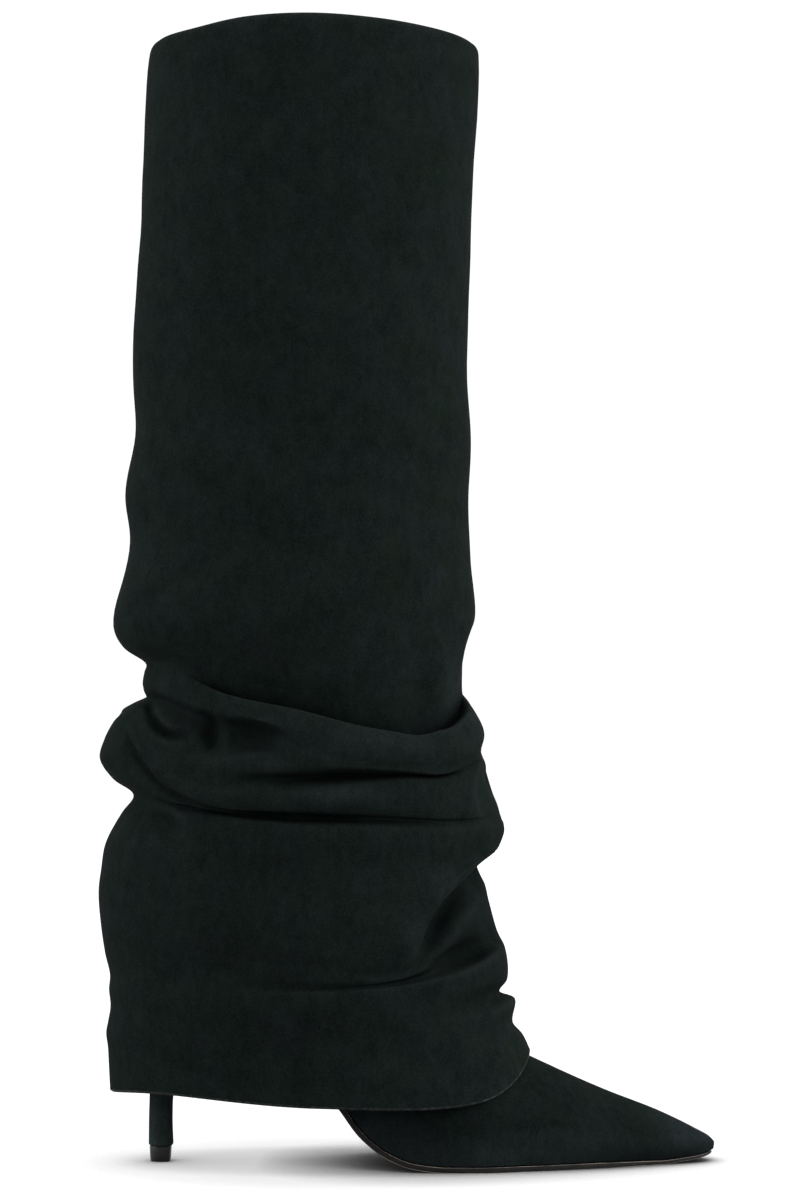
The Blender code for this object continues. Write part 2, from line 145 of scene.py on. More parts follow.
# Camera: its place in the boot's millimetres, its tilt from straight down, its range in metres
CAMERA_PLACE = (114.4, -1100.0, 152.3)
CAMERA_TILT = 94.2
CAMERA_LENS = 78.57
SENSOR_WIDTH = 36.0
CAMERA_RANGE = (0.05, 60.0)

# Bottom of the outsole along the foot: toe spring, tread, arch and heel seat
# Columns: x, z
PROFILE = (
    (HEEL_BACK_X, 91.5),
    (20.0, 87.0),
    (42.0, 76.5),
    (58.0, 62.0),
    (74.0, 43.8),
    (89.3, 24.4),
    (98.4, 12.8),
    (108.8, 5.2),
    (120.0, 1.3),
    (134.0, 0.0),
    (221.0, 0.0),
    (232.0, 1.0),
    (239.0, 2.1),
    (TOE_X, 3.8),
)

# Half-widths of the foot at the feather line
# Columns: x, lateral, medial
OUTLINE = (
    (HEEL_BACK_X, 27.0, 27.0),
    (25.0, 27.5, 27.0),
    (50.0, 25.5, 23.5),
    (75.0, 24.5, 21.5),
    (100.0, 30.5, 25.5),
    (125.0, 37.0, 32.5),
    (145.0, 37.5, 35.5),
    (165.0, 33.0, 34.0),
    (190.0, 25.5, 28.0),
    (220.0, 12.8, 17.5),
    (TOE_X, 3.6, 8.4),
)

# Sections of the foot from the toe to the back of the heel. Each stands on the sole at sole_x.
# Columns: sole_x, ridge_x, ridge_z, widest, widest_at, crown
FOOT = (
    (244.7, 244.9, 7.8, 2.8, 0.50, 2.00),
    (242.6, 243.0, 9.8, 6.2, 0.42, 2.00),
    (235.6, 236.0, 13.7, 11.0, 0.36, 1.95),
    (222.0, 222.0, 20.4, 17.4, 0.30, 1.85),
    (200.0, 199.4, 29.2, 26.4, 0.27, 1.80),
    (178.0, 177.6, 38.8, 32.6, 0.25, 1.74),
    (158.0, 159.8, 47.4, 35.8, 0.24, 1.68),
    (138.0, 144.0, 57.0, 37.8, 0.24, 1.70),
    (118.0, 130.5, 70.0, 36.2, 0.26, 1.75),
    (100.0, 120.5, 87.5, 33.0, 0.30, 1.85),
    (82.0, 113.5, 107.0, 31.0, 0.36, 1.95),
    (62.0, 109.5, 125.5, 31.2, 0.40, 2.00),
    (42.0, 107.0, 142.0, 32.0, 0.43, 2.00),
    (22.0, 105.8, 156.0, 33.0, 0.45, 2.00),
    (8.0, 105.0, 167.5, 33.2, 0.46, 2.00),
)

# Crown of a round section, and the share of a section that is crown, more where the feather is wide
ROUND_CROWN = 2.0
CROWN_SHARE = 0.5
FEATHER_CROWN = 0.1

# Sections of the inner leg from the counter to the collar
# Columns: back_x, back_z, front_x, front_z, widest, widest_at
LEG = (
    (HEEL_BACK_X, 94.4, 104.8, 173.5, 33.2, 0.47),
    (0.2, 108.0, 104.6, 180.0, 33.2, 0.48),
    (1.0, 121.0, 104.3, 190.0, 33.2, 0.49),
    (4.0, 137.0, 104.0, 202.0, 33.4, 0.50),
    (8.8, 156.0, 104.3, 214.0, 34.2, 0.50),
    (13.0, 180.0, 105.5, 229.0, 36.2, 0.50),
    (15.2, 210.0, 109.0, 250.0, 39.5, 0.50),
    (14.5, 250.0, 116.0, 280.0, 43.5, 0.50),
    (11.0, 305.0, 127.5, 322.0, 47.0, 0.50),
    (8.4, 360.0, 137.0, 368.0, 48.8, 0.50),
    (8.6, 415.0, 142.0, 417.0, 49.6, 0.50),
    (9.7, 446.0, 143.9, 446.0, 49.4, 0.50),
    (10.7, COLLAR_TOP, 144.8, COLLAR_TOP, 49.1, 0.50),
)

# Heel below the sole: heights at its back and at its breast, and the section's reach there
# Columns: back_z, breast_z, back_x, breast_x, half
HEEL = (
    (82.0, 69.0, 3.6, 41.0, 22.6),
    (70.0, 60.5, 5.6, 34.5, 17.2),
    (56.0, 51.5, 8.2, 28.0, 11.4),
    (42.0, 40.5, 10.0, 23.2, 7.4),
    (29.0, 28.8, 10.4, 20.4, 5.4),
    (18.0, 18.0, 10.2, 19.9, 5.0),
    (TIP_HEIGHT + SEAM_GAP, TIP_HEIGHT + SEAM_GAP, 10.2, 20.3, 5.2),
)
SEAT_BACK_X = HEEL_BACK_X + 1.0
SEAT_BREAST_X = 47.0
SEAT_HALF = 25.4
BACK_SQUARE = 2.0
BREAST_SQUARE = 4.5

# Rings of the heel's top piece and how far each is drawn in
# Columns: z, taper
TIP_RINGS = ((TIP_HEIGHT, 0.0), (3.6, 0.12), (1.0, TIP_TAPER), (0.0, 2 * TIP_TAPER))

# Smooth body of the outer shaft
# Columns: z, back, front, half
PLAN = (
    (28.0, -5.8, 170.5, 50.5),
    (50.0, -6.8, 165.0, 51.5),
    (75.0, -6.5, 158.5, 53.0),
    (110.0, -8.0, 154.0, 54.0),
    (140.0, -4.0, 153.0, 54.0),
    (165.0, -2.0, 150.0, 53.5),
    (195.0, 3.0, 144.0, 53.0),
    (225.0, 1.0, 143.5, 53.5),
    (270.0, 0.5, 143.0, 54.0),
    (330.0, 1.5, 142.5, 54.0),
    (400.0, 4.4, 144.8, 53.0),
    (BOOT_HEIGHT, 7.8, 147.8, 52.0),
)

# The collar's rim from the back to the front: how high it stands, and where its roll is squarer
RIM_RISE = (0.2, 0.0, -0.4, 1.2, 1.5, 0.7, 0.0, 0.0, 0.4)
RIM_SQUARE = (0.6, 0.4, 0.0, 0.0, 0.0, 0.0, 0.1, 0.6, 1.0)


def rim(name, drop, relief, square=0.0):
    """A fold line of the collar's roll: a little higher at the side, squarer at back and front."""
    heights = tuple(BOOT_HEIGHT + rise - drop for rise in RIM_RISE)
    return (name, 0.0, 1.0, heights, tuple(relief + square * share for share in RIM_SQUARE))


# Fold lines of the outer shaft from the turned-in edge to the hem, in the order of the leather.
# Heights, then how far each stands out of the smooth body, at five, nine or seventeen places from
# the back to the front of the lateral side. Towards the middle of the medial side the heights move
# by lift and the reliefs are scaled by ease.
# Columns: name, lift, ease, heights, reliefs
FOLDS = (
    rim("turned-in edge", TURN_IN_DEPTH, -ROLL_WIDTH),
    rim("turned-in wall", 6.0, -ROLL_WIDTH),
    rim("roll inside", 1.3, -0.78 * ROLL_WIDTH),
    rim("roll top", 0.0, -0.48 * ROLL_WIDTH, 0.5),
    rim("roll outside", 1.3, -0.18 * ROLL_WIDTH, 1.0),
    rim("collar", 6.5, 0.0, 0.6),
    ("calf", 0, 1.0, (395, 395, 395, 395, 396), (0.0, 0.0, 0.0, 0.0, 0.4)),
    ("upper swell", 3, 1.0, (335, 335, 335, 333, 326.8), (0.2, 0.0, 0.0, 0.0, 0.3)),
    ("soft dip", 4, 0.8, (305, 306, 304, 302, 301), (-1.8, -0.5, 0.0, 0.5, 1.6)),
    ("soft crest", 4, 0.9, (277, 277, 276, 275, 277.5), (2.1, 1.0, 0.3, 0.0, 0.5)),
    ("second dip", 2, 1.0, (257, 257, 256, 256, 252.2), (-0.1, 0.4, 0.2, 0.4, 1.2)),
    ("low crest", 4, 0.9, (222, 224, 222, 219, 225), (7.1, 4.6, 1.4, 1.6, 2.4)),
    ("under the crest", 9, 0.7,
     (213, 213, 211, 207, 202, 197, 194, 202, 215.5),
     (3.6, 3.4, 2.4, 0.8, 0.2, 0.0, 0.0, -1.0, -1.9)),
    ("tuck one", 12, 0.7,
     (206, 206, 203.5, 188, 181, 172.5, 171, 180, 193.5),
     (-5.3, -4.6, -1.0, -3.0, -3.6, -3.4, -3.4, -5.5, -3.8)),
    ("lip of band one", 13, 0.75,
     (203, 203, 200, 191.5, 185.5, 178, 176, 184, 192.3),
     (-4.4, -4.0, -0.2, 1.6, 2.4, 2.8, 3.2, 2.2, -3.1)),
    ("band one", 13, 0.75,
     (198, 198, 196, 186, 178, 172, 170, 175, 180.8),
     (-3.6, -2.2, 1.2, 3.8, 5.0, 5.4, 5.6, 4.6, 2.1)),
    ("foot of band one", 12, 0.7,
     (194.5, 194.3, 194, 193.2, 190.6, 186, 182.8, 180.6, 174,
      169, 166, 165, 165, 167.4, 171, 175.6, 177.9),
     (-4.8, -3.6, -2.6, -0.8, 0.9, 2.8, 4.0, 4.8, 5.0, 5.1, 5.2, 5.3, 5.4, 5.0, 4.4, 3.0, 1.4)),
    ("back pocket", 11, 0.4,
     (192, 191.5, 190.8, 189.6, 186.8, 181.8, 178.8, 177.2, 170.6,
      166.4, 164.2, 163.2, 162.7, 165, 169, 172.6, 174.6),
     (-5.2, -4.9, -4.4, -3.8, -2.6, -2.2, -0.9, 1.0, 4.6, 4.6, 4.6, 4.6, 4.6, 4.0, 3.2, 1.6, -0.1)),
    ("under the pocket", 10, 0.5,
     (189, 188.6, 187.8, 184.6, 179, 172.8, 171.4, 172.0, 165.2,
      164.0, 162.8, 161.8, 161.0, 163.4, 167.5, 170.6, 172.2),
     (1.2, 1.0, 0.9, 0.8, 1.2, -0.6, -0.2, 1.0, 5.0, 4.5, 4.2, 4.1, 4.0, 3.4, 2.6, 0.6, -1.5)),
    ("under band one", 9, 0.8,
     (187, 187, 186.6, 179.4, 170, 165.0, 162.0, 160.6, 160.4,
      161.8, 161.4, 160.6, 159.6, 162.2, 166.5, 169.8, 171.3),
     (4.0, 3.3, 2.8, 3.0, 3.6, 3.6, 3.8, 4.2, 4.2, 4.0, 3.8, 3.7, 3.6, 3.0, 2.2, 0.4, -1.5)),
    ("tuck two", 8, 0.6,
     (185.5, 185.5, 185.4, 176.6, 167, 160.4, 156.6, 157.2, 158.4,
      159.2, 159.4, 159.6, 159.4, 161.4, 165.0, 167.8, 170.0),
     (4.5, 4.1, 3.8, 3.8, 4.0, 3.9, 3.8, 1.8, -1.4, -3.6, -3.4, -2.0, -0.2, 0.8, 0.9, -0.2, -1.2)),
    ("lip of band two", 8, 0.8,
     (183, 184, 184.2, 174.6, 164, 157.6, 153.4, 153.4, 154.2,
      155.2, 156.4, 157.4, 157.6, 159, 161, 162.6, 163.3),
     (5.8, 5.2, 4.6, 4.4, 4.4, 4.0, 3.7, 3.2, 1.8, 1.2, 1.4, 1.8, 2.0, 1.7, 1.2, 0.4, -0.5)),
    ("band two", 7, 0.8,
     (180, 183, 160, 151, 150.5, 150.5, 149, 150.5, 152.1),
     (7.2, 5.8, 5.0, 4.2, 3.8, 3.4, 2.8, 2.4, 1.4)),
    ("under band two", 6, 0.8,
     (177, 179.6, 180.6, 169, 156, 149.8, 146, 145, 144.6,
      144.2, 143.6, 142.6, 141.8, 141.8, 142.2, 144, 147.1),
     (8.2, 7.5, 6.6, 5.6, 5.0, 4.2, 3.4, 3.2, 3.0, 2.6, 2.2, 1.9, 1.6, 1.6, 1.8, 2.2, 2.8)),
    ("tuck three", 6, 0.5,
     (174, 176.8, 178, 168, 155.2, 149.2, 145.8, 144.6, 143.8,
      143.2, 142.6, 141.8, 141, 141, 141.6, 142.4, 143.0),
     (8.8, 7.8, 6.6, 3.4, 2.2, 1.6, 1.0, -0.8, -2.4, -2.3, -0.3, 0.1, 0.3, 0.7, 1.4, 2.4, 3.5)),
    ("back bulge", 6, 0.5,
     (166.5, 168.6, 169, 162, 152.6, 148, 145.2, 144, 143,
      142.5, 142, 141.3, 140.6, 140.6, 141.2, 141.7, 142.0),
     (9.1, 8.0, 6.2, 3.2, 1.7, 1.2, 0.7, -1.2, -2.6, -2.4, -0.5, 0.0, 0.2, 0.6, 1.4, 2.6, 3.8)),
    ("under the bulge", 5, 0.5,
     (158, 158, 157, 154, 150, 146.8, 144.6, 143.2, 141.9,
      141.2, 141.2, 140.8, 140.2, 140.2, 140.8, 141, 141.0),
     (2.8, 2.8, 2.4, 1.8, 1.4, 1.1, 0.6, -1.0, -2.4, -2.2, -0.5, 0.1, 0.3, 0.7, 1.5, 2.8, 4.0)),
    ("tuck at the back", 5, 0.6,
     (151.3, 150.6, 147.8, 144.0, 141.4, 140.8, 139.7, 140.2, 140.0),
     (-6.0, -4.6, -1.0, -0.9, -2.2, -1.0, 0.2, 1.8, 4.5)),
    ("crown of the panel", 4, 0.9,
     (144, 144, 144, 142.2, 139.2, 138.2, 137.2, 137.4, 136.2),
     (-1.8, -1.2, 0.6, 1.6, 1.4, 1.6, 2.0, 3.2, 4.8)),
    ("panel", 2, 1.0, (131, 128, 122, 122, 129.3), (3.4, 1.4, 1.4, 1.4, 2.0)),
    ("turn of the brow", 6, 0.4,
     (120, 118, 115, 111, 107, 102, 97.5, 93.5, 90.5, 88, 87.2, 94.0, 109.5, 121, 125.8, 128.0, 128.3),
     (3.6, 2.6, 2.0, 1.7, 1.5, 1.4, 1.3, 1.3, 1.3, 1.5, 2.2, 3.6, 4.4, 3.8, 1.4, 1.2, 1.1)),
    ("brow of the panel", 7, 0.3,
     (112, 110, 108, 104, 100, 95.5, 91, 87, 84, 81, 79.4, 84.6, 100.6, 115.2, 122.4, 126.8, 127.3),
     (3.6, 3.1, 2.6, 2.1, 1.6, 1.3, 1.0, 0.8, 0.6, 0.6, 0.4, -0.2, -0.8, -1.0, -1.6, 0.4, 0.3)),
    ("tuck four", 8, 0.2,
     (96, 95, 94, 92, 90, 87, 84, 81.5, 79.4, 78.4, 77.8, 82.8, 98.8, 113.2, 119.2, 121.6, 124.7),
     (2.9, 2.3, 1.8, 1.3, 0.9, 0.6, 0.4, 0.4, 0.5, 0.5, 0.5, -1.6, -5.6, -8.4, -9.2, -9.8, -7.0)),
    ("inner ridge", 7, 0.2,
     (86, 86, 86, 85, 84, 82, 80, 78.6, 77.4, 76.9, 76.7, 79.8, 86.6, 97.0, 104.0, 107.7, 113.9),
     (1.7, 1.4, 1.1, 0.8, 0.5, 0.2, 0.0, 0.2, 0.4, 0.4, 0.3, -1.0, -3.0, -3.8, -4.0, -4.4, -4.1)),
    ("tuck five", 6, 0.3,
     (77, 77, 77, 77, 77, 76, 75, 74.2, 73.6, 74.5, 75.6, 77.8, 80.8, 84.4, 88.2, 91.8, 95.0),
     (-0.4, -0.3, -0.2, -0.1, 0.0, 0.0, -0.1, -0.3, -0.5,
      -0.5, -0.6, -2.4, -5.2, -7.2, -7.6, -4.4, -0.2)),
    ("lip of band three", 5, 0.5,
     (71, 71, 71, 71.5, 72.4, 74.6, 78.8, 85.6, 87.7),
     (0.0, 0.2, 0.3, 0.2, 0.2, 0.5, 1.8, 2.0, 2.2)),
    ("band three", 4, 0.6,
     (64, 64, 64, 65, 66, 68.5, 72.5, 75.6, 74.7),
     (-0.6, -0.2, 0.2, 0.5, 0.8, 1.2, 1.8, 1.6, 0.7)),
    ("tuck six", 2, 0.7,
     (58, 58.5, 59, 59, 59.5, 62, 65.5, 69, 69.6),
     (0.2, 0.2, 0.2, 0.3, 0.6, 1.0, 0.9, -2.0, -3.6)),
    ("band four", 2, 0.8,
     (53, 53, 53, 53, 53.4, 56, 60, 64.2, 66.9),
     (0.9, 0.4, 0.0, 0.0, 0.2, 0.6, 1.2, 1.5, 2.1)),
    ("tuck seven", 0, 1.0,
     (47, 47.5, 48, 47.5, 47, 49, 52.5, 57.5, 57.1),
     (0.2, -0.2, -0.4, -0.2, 0.0, 0.6, 1.3, 0.2, -1.8)),
    ("above the hem", 0, 1.0, (38, 40, 36, 39, 52), (0.0, -0.4, 0.0, 2.8, 0.8)),
    ("hem", 0, 1.0, (29.5, 31.5, 27.6, 28.4, 45.8), (0.0, 0.0, 0.0, 3.8, 2.2)),
)

# Creases and low ridges laid on the shaft's walls: a curve from start over bend to end,
# in x and z, with its half-width and its depth (a ridge has a depth below nought).
# Columns: name, start, bend, end, half, depth
CREASES = (
    ("hook", (11.6, 187.8), (14.4, 173.8), (27.4, 175.6), 1.8, 4.8),
    ("hook's lower bank", (7.8, 186.0), (10.8, 172.2), (25.2, 172.2), 2.6, -0.6),
    ("deep pocket", (36.2, 181.0), (39.4, 177.0), (37.8, 170.0), 3.4, 4.4),
    ("long pocket", (45.0, 173.6), (58.0, 173.8), (67.0, 171.4), 4.4, 3.6),
    ("long pocket's rim", (71.6, 181.0), (75.4, 175.0), (70.2, 168.6), 2.6, -1.2),
    ("ridge under the pockets", (38.6, 161.2), (51.9, 168.0), (70.0, 171.6), 3.0, -0.9),
    ("hollow under the hook", (31.0, 171.2), (27.4, 163.2), (34.0, 155.6), 4.6, 1.4),
    ("shadow of band two", (4.4, 171.0), (12.6, 156.0), (32.0, 147.6), 1.6, 1.5),
    ("edge of band two", (5.8, 175.6), (14.8, 159.6), (30.6, 150.6), 1.6, -0.6),
    ("shoulder hollow", (11.0, 143.0), (18.0, 140.4), (26.0, 133.6), 4.6, 4.8),
    ("shoulder ridge", (10.5, 149.4), (24.0, 147.6), (31.4, 135.4), 2.8, -1.1),
    ("front wall's edge", (130.0, 213.0), (130.0, 194.0), (129.6, 177.0), 3.8, -2.0),
    ("trough by the front wall", (121.0, 211.0), (121.0, 193.0), (120.6, 178.0), 4.6, 1.4),
    ("edge of band two's end", (147.0, 166.5), (144.4, 154.1), (141.2, 143.8), 1.6, -1.7),
    ("facet of band two's end", (149.2, 160.7), (148.9, 152.0), (150.0, 145.0), 3.2, 2.6),
    ("brow's edge", (140.6, 121.4), (126.6, 107.0), (115.6, 84.4), 2.6, -1.1),
    ("front hollow", (138.0, 113.0), (127.2, 100.2), (120.8, 88.2), 4.4, 3.8),
    ("ridge between the hollows", (148.0, 109.0), (138.0, 99.2), (131.5, 87.2), 3.0, -1.0),
    ("lower front hollow", (150.0, 89.2), (142.4, 87.6), (130.6, 83.6), 3.4, 3.8),
    ("crease five", (124.0, 77.8), (108.0, 75.4), (84.0, 73.2), 1.2, 0.4),
    ("trough of band three", (154.0, 70.0), (143.6, 66.6), (131.0, 61.6), 4.6, 1.5),
    ("trough above the hem", (-2.0, 46.7), (13.5, 43.8), (38.0, 40.0), 4.6, 0.6),
    ("drag ridge", (0.0, 228.5), (12.5, 235.4), (24.0, 244.2), 3.4, -0.9),
    ("drag trough", (-2.0, 225.5), (10.8, 229.7), (23.0, 236.9), 3.4, 0.9),
    ("line at the side", (84.0, 232.0), (97.5, 232.8), (110.0, 232.4), 1.6, -0.30),
    ("line at the front", (114.0, 244.6), (123.4, 242.6), (131.0, 239.6), 1.8, -0.35),
    ("lower line at the front", (128.0, 235.0), (135.0, 233.8), (141.0, 231.4), 1.8, -0.35),
)

# On the medial side the creases are moved and eased. Each fades at its ends.
MEDIAL_SHIFT = (5.0, 8.0)
MEDIAL_EASE = 0.5
CREASE_POINTS = 41
CREASE_REACH = 4
CREASE_END = 0.08
CREASE_FADE = 0.7

# Patches of the shaft painted paler, painted light on faces where light falls: middle and half-sizes
# Columns: name, middle, half
LIT_PATCHES = (
    ("front wall", (139.0, -22.0, 194.0), (10.0, 24.0, 25.0)),
    ("band one", (98.0, -48.0, 171.5), (36.0, 30.0, 9.0)),
    ("band two", (92.0, -54.0, 152.5), (26.0, 20.0, 7.0)),
    ("upper brow", (133.0, -36.0, 115.0), (9.0, 18.0, 10.0)),
    ("lower brow", (120.5, -46.0, 96.0), (7.0, 18.0, 13.0)),
)

# The same painted light for the foot, whose suede is painted a little darker than the shaft elsewhere, as
# painted shade. The heel's suede is painted paler, as painted light.
FOOT_LIT_PATCHES = (
    ("toe", (240.0, -4.0, 12.0), (30.0, 22.0, 18.0)),
    ("arch", (106.0, -30.0, 12.0), (22.0, 24.0, 20.0)),
    ("lower side", (165.0, -38.0, 3.0), (90.0, 40.0, 16.0)),
)
FOOT_SHADED_LIGHTNESS = 0.8
FOOT_PATCH_GAIN = 1.4
HEEL_LIT_LIGHTNESS = 2.5

# Slow waves in the hanging leather, which die away at the collar and above the hem
# Columns: height, waves round the leg, waves per mm, phase
WAVES = (
    (0.32, 2, 1 / 150, 0.4),
    (0.26, 3, 1 / 85, 2.1),
    (0.18, 5, 1 / 48, 4.0),
    (0.10, 8, 1 / 30, 1.2),
)
WAVE_TOP_GAP = 8.0
WAVE_HEM_Z = 30.0
WAVE_CALM = 30.0


# Curves


def smooth(table, column, at):
    """Reads one column of a table at any place, on a cubic that never overshoots its rows."""
    rows = np.array([row[:1] + (row[column],) for row in table], float)
    xs, ys = rows[:, 0], rows[:, 1]
    gaps = np.diff(xs)
    rises = np.diff(ys) / gaps
    slopes = np.zeros(len(xs))
    slopes[0], slopes[-1] = rises[0], rises[-1]
    same_way = rises[:-1] * rises[1:] > 0
    mean = 2 * rises[:-1] * rises[1:] / np.where(same_way, rises[:-1] + rises[1:], 1)
    slopes[1:-1] = np.where(same_way, mean, 0)
    at = np.clip(np.asarray(at, float), xs[0], xs[-1])
    i = np.clip(np.searchsorted(xs, at) - 1, 0, len(xs) - 2)
    t = (at - xs[i]) / gaps[i]
    keep = (1 + 2 * t) * (1 - t) ** 2 * ys[i] + t * t * (3 - 2 * t) * ys[i + 1]
    lean = t * (1 - t) ** 2 * slopes[i] - t * t * (1 - t) * slopes[i + 1]
    return keep + gaps[i] * lean


def resample(rows, count):
    """A table of sections made finer: count rows, evenly spread over the given ones."""
    indexed = [(float(i),) + tuple(row) for i, row in enumerate(rows)]
    at = np.linspace(0, len(rows) - 1, count)
    columns = [smooth(indexed, c + 1, at) for c in range(len(rows[0]))]
    return np.stack(columns, axis=1)


def round_about(values, angles):
    """Values evenly spread on a ring, read at any angle on a periodic cubic."""
    values = np.asarray(values, float)
    place = np.asarray(angles) * len(values) / (2 * math.pi)
    i = np.floor(place).astype(int)
    t = place - i
    before, start, end, after = (values[(i + k) % len(values)] for k in (-1, 0, 1, 2))
    cubic = 3 * (start - end) + after - before
    square = 2 * before - 5 * start + 4 * end - after
    return start + 0.5 * t * (end - before + t * (square + t * cubic))


def finer(grid, steps):
    """Rows of points on a centripetal cubic through the given ones, with steps[i] rows in span i."""
    ends = np.concatenate([2 * grid[:1] - grid[1:2], grid, 2 * grid[-1:] - grid[-2:-1]])
    made = []
    for p0, p1, p2, p3, count in zip(ends, ends[1:], ends[2:], ends[3:], steps):
        d1, d2, d3 = (
            np.maximum(np.linalg.norm(b - a, axis=1, keepdims=True), 1e-6) ** 0.5
            for a, b in ((p0, p1), (p1, p2), (p2, p3))
        )
        m1 = d2 * ((p1 - p0) / d1 - (p2 - p0) / (d1 + d2)) + p2 - p1
        m2 = d2 * ((p3 - p2) / d3 - (p3 - p1) / (d2 + d3)) + p2 - p1
        for t in np.arange(count) / count:
            keep = (1 + 2 * t) * (1 - t) ** 2 * p1 + t * t * (3 - 2 * t) * p2
            made.append(keep + t * (1 - t) ** 2 * m1 - t * t * (1 - t) * m2)
    return np.array(made + [grid[-1]])


# The last: sole line, outline and sections


def sole_point(x, lift):
    """Point (x, z) at a height above the outsole's bottom, square to it."""
    step = 0.5
    slope = (smooth(PROFILE, 1, x + step) - smooth(PROFILE, 1, x - step)) / (2 * step)
    size = np.sqrt(1 + slope**2)
    return x - lift * slope / size, smooth(PROFILE, 1, x) + lift / size


def skive(x):
    """Share of the outsole's thickness at x: whole to the ball, thinner at the toe."""
    along = np.clip((x - SKIVE_START_X) / (TOE_X - SKIVE_START_X), 0, 1)
    return 1 - (1 - SKIVED_SHARE) * along


def sole_top(x):
    """Height above the outsole's bottom at which the upper and the insole stand."""
    return SOLE_THICK * skive(x) + FEATHER_GAP


def half_widths(x, inset=0.0, toe_trim=0.0):
    """Lateral and medial edges of the foot at x, round at the heel and the toe."""
    back = np.clip((x - HEEL_BACK_X - inset) / HEEL_ROUND, 0, 1)
    front = np.clip((TOE_X - inset - toe_trim - x) / TOE_ROUND, 0, 1)
    ends = np.sqrt(1 - (1 - back) ** 2) * np.sqrt(1 - (1 - front) ** 2)
    lateral, medial = smooth(OUTLINE, 1, x), smooth(OUTLINE, 2, x)
    middle = (medial - lateral) / 2
    half = np.maximum((medial + lateral) / 2 - inset, 0) * ends
    return middle - half, middle + half


def upper_sections():
    """Rows of (bottom x and z, ridge x and z, feather half, middle y, widest, widest_at, crown)."""
    heel_back = (LEG[0][0], *LEG[0][2:], ROUND_CROWN)
    foot_count = round(UPPER_SECTIONS * FOOT_SECTIONS_SHARE)
    rows = []
    for sole_x, *ridge, widest, widest_at, crown in resample(FOOT + (heel_back,), foot_count)[:-1]:
        lateral, medial = half_widths(sole_x)
        half, middle = (medial - lateral) / 2, (medial + lateral) / 2
        bottom = sole_point(sole_x, sole_top(sole_x))
        rows.append((*bottom, *ridge, half, middle, widest, widest_at, crown))
    for *ends, widest, widest_at in resample(LEG, UPPER_SECTIONS - foot_count + 1):
        rows.append((*ends, 0.0, 0.0, widest, widest_at, ROUND_CROWN))
    return rows


def section(row, columns):
    """Points of one section, from the lateral feather over the ridge to the medial feather."""
    bottom_x, bottom_z, ridge_x, ridge_z, feather, middle, widest, widest_at, crown = row
    across = np.linspace(-1, 1, columns)
    crown_share = CROWN_SHARE + FEATHER_CROWN * feather / widest
    on_crown = np.abs(across) / crown_share
    on_flank = 1 + (np.abs(across) - crown_share) / (1 - crown_share)
    turn = np.where(np.abs(across) < crown_share, on_crown, on_flank) * (math.pi / 2)
    below = np.maximum(turn - math.pi / 2, 0)
    above = np.minimum(turn, math.pi / 2)
    arch = widest_at + (1 - widest_at) * np.maximum(np.cos(above), 0) ** (2 / crown)
    rise = np.where(turn < math.pi / 2, arch, widest_at * (1 - np.sin(below)))
    round_under = 1 + feather / widest
    flank = feather + (widest - feather) * np.maximum(np.cos(below), 0) ** round_under
    half = np.where(turn < math.pi / 2, widest * np.sin(above) ** (2 / crown), flank)
    x = bottom_x + (ridge_x - bottom_x) * rise
    z = bottom_z + (ridge_z - bottom_z) * rise
    return np.stack([x, middle + np.sign(across) * half, z], axis=1)


# The outer shaft's skin


def both_sides(lateral, medial):
    """Values from back to front on both sides, as one ring that starts at the front."""
    return np.concatenate([lateral[-1:], medial[-2:0:-1], lateral[:-1]])


def plan_points(z, out, angles):
    """Points round the leg at the heights z, moved outward from its plan."""
    rear, fore, half = (smooth(PLAN, column, z) for column in (1, 2, 3))
    reach = (fore - rear) / 2
    along, across = np.cos(angles) / reach, np.sin(angles) / half
    size = np.hypot(along, across)
    x = (fore + rear) / 2 + reach * np.cos(angles) + out * along / size
    y = half * np.sin(angles) + out * across / size
    return np.stack([x, y, z], axis=-1)


def fold_ring(fold, angles):
    """One fold line of the outer shaft as a ring of points."""
    _, lift, ease, heights, reliefs = fold
    heights, reliefs = np.array(heights, float), np.array(reliefs, float)
    side_share = np.sin(np.linspace(0, math.pi, len(heights)))
    z = round_about(both_sides(heights, heights + lift * side_share), angles)
    out = round_about(both_sides(reliefs, reliefs * (1 - (1 - ease) * side_share)), angles)
    return plan_points(z, out, angles)


def ring_normals(grid):
    """Outward unit normals of a skin whose rows are closed rings."""
    around = np.roll(grid, -1, axis=1) - np.roll(grid, 1, axis=1)
    down = np.gradient(grid, axis=0)
    normals = np.cross(down, around)
    return normals / np.maximum(np.linalg.norm(normals, axis=2, keepdims=True), 1e-9)


def crease_depth(places, start, bend, end, half, depth):
    """Depth of one crease at each (x, z): a soft trough, fading out at its ends."""
    t = np.linspace(0, 1, CREASE_POINTS)[:, None]
    start, bend, end = (np.array(p) for p in (start, bend, end))
    path = (1 - t) ** 2 * start + 2 * t * (1 - t) * bend + t**2 * end
    square = ((places[:, None] - path[None]) ** 2).sum(axis=2)
    nearest = square.argmin(axis=1)
    away = np.sqrt(square.min(axis=1)) / half
    along = CREASE_END + (1 - 2 * CREASE_END) * t[nearest, 0]
    fade = np.sin(math.pi * along) ** CREASE_FADE
    return depth * fade * np.exp(-(away**2))


def crease_relief(skin):
    """How far the listed creases press the skin in: in full laterally, moved and eased medially."""
    depth = np.zeros(skin.shape[:2])
    for sign, shift, ease in ((-1, (0.0, 0.0), 1.0), (1, MEDIAL_SHIFT, MEDIAL_EASE)):
        for _, start, bend, end, half, full in CREASES:
            moved = [(p[0] + shift[0], p[1] + shift[1]) for p in (start, bend, end)]
            low = np.min(moved, axis=0) - CREASE_REACH * half
            high = np.max(moved, axis=0) + CREASE_REACH * half
            places = skin[..., (0, 2)]
            near = ((places > low) & (places < high)).all(axis=2) & (skin[..., 1] * sign > 0)
            depth[near] += ease * crease_depth(places[near], *moved, half, full)
    return depth


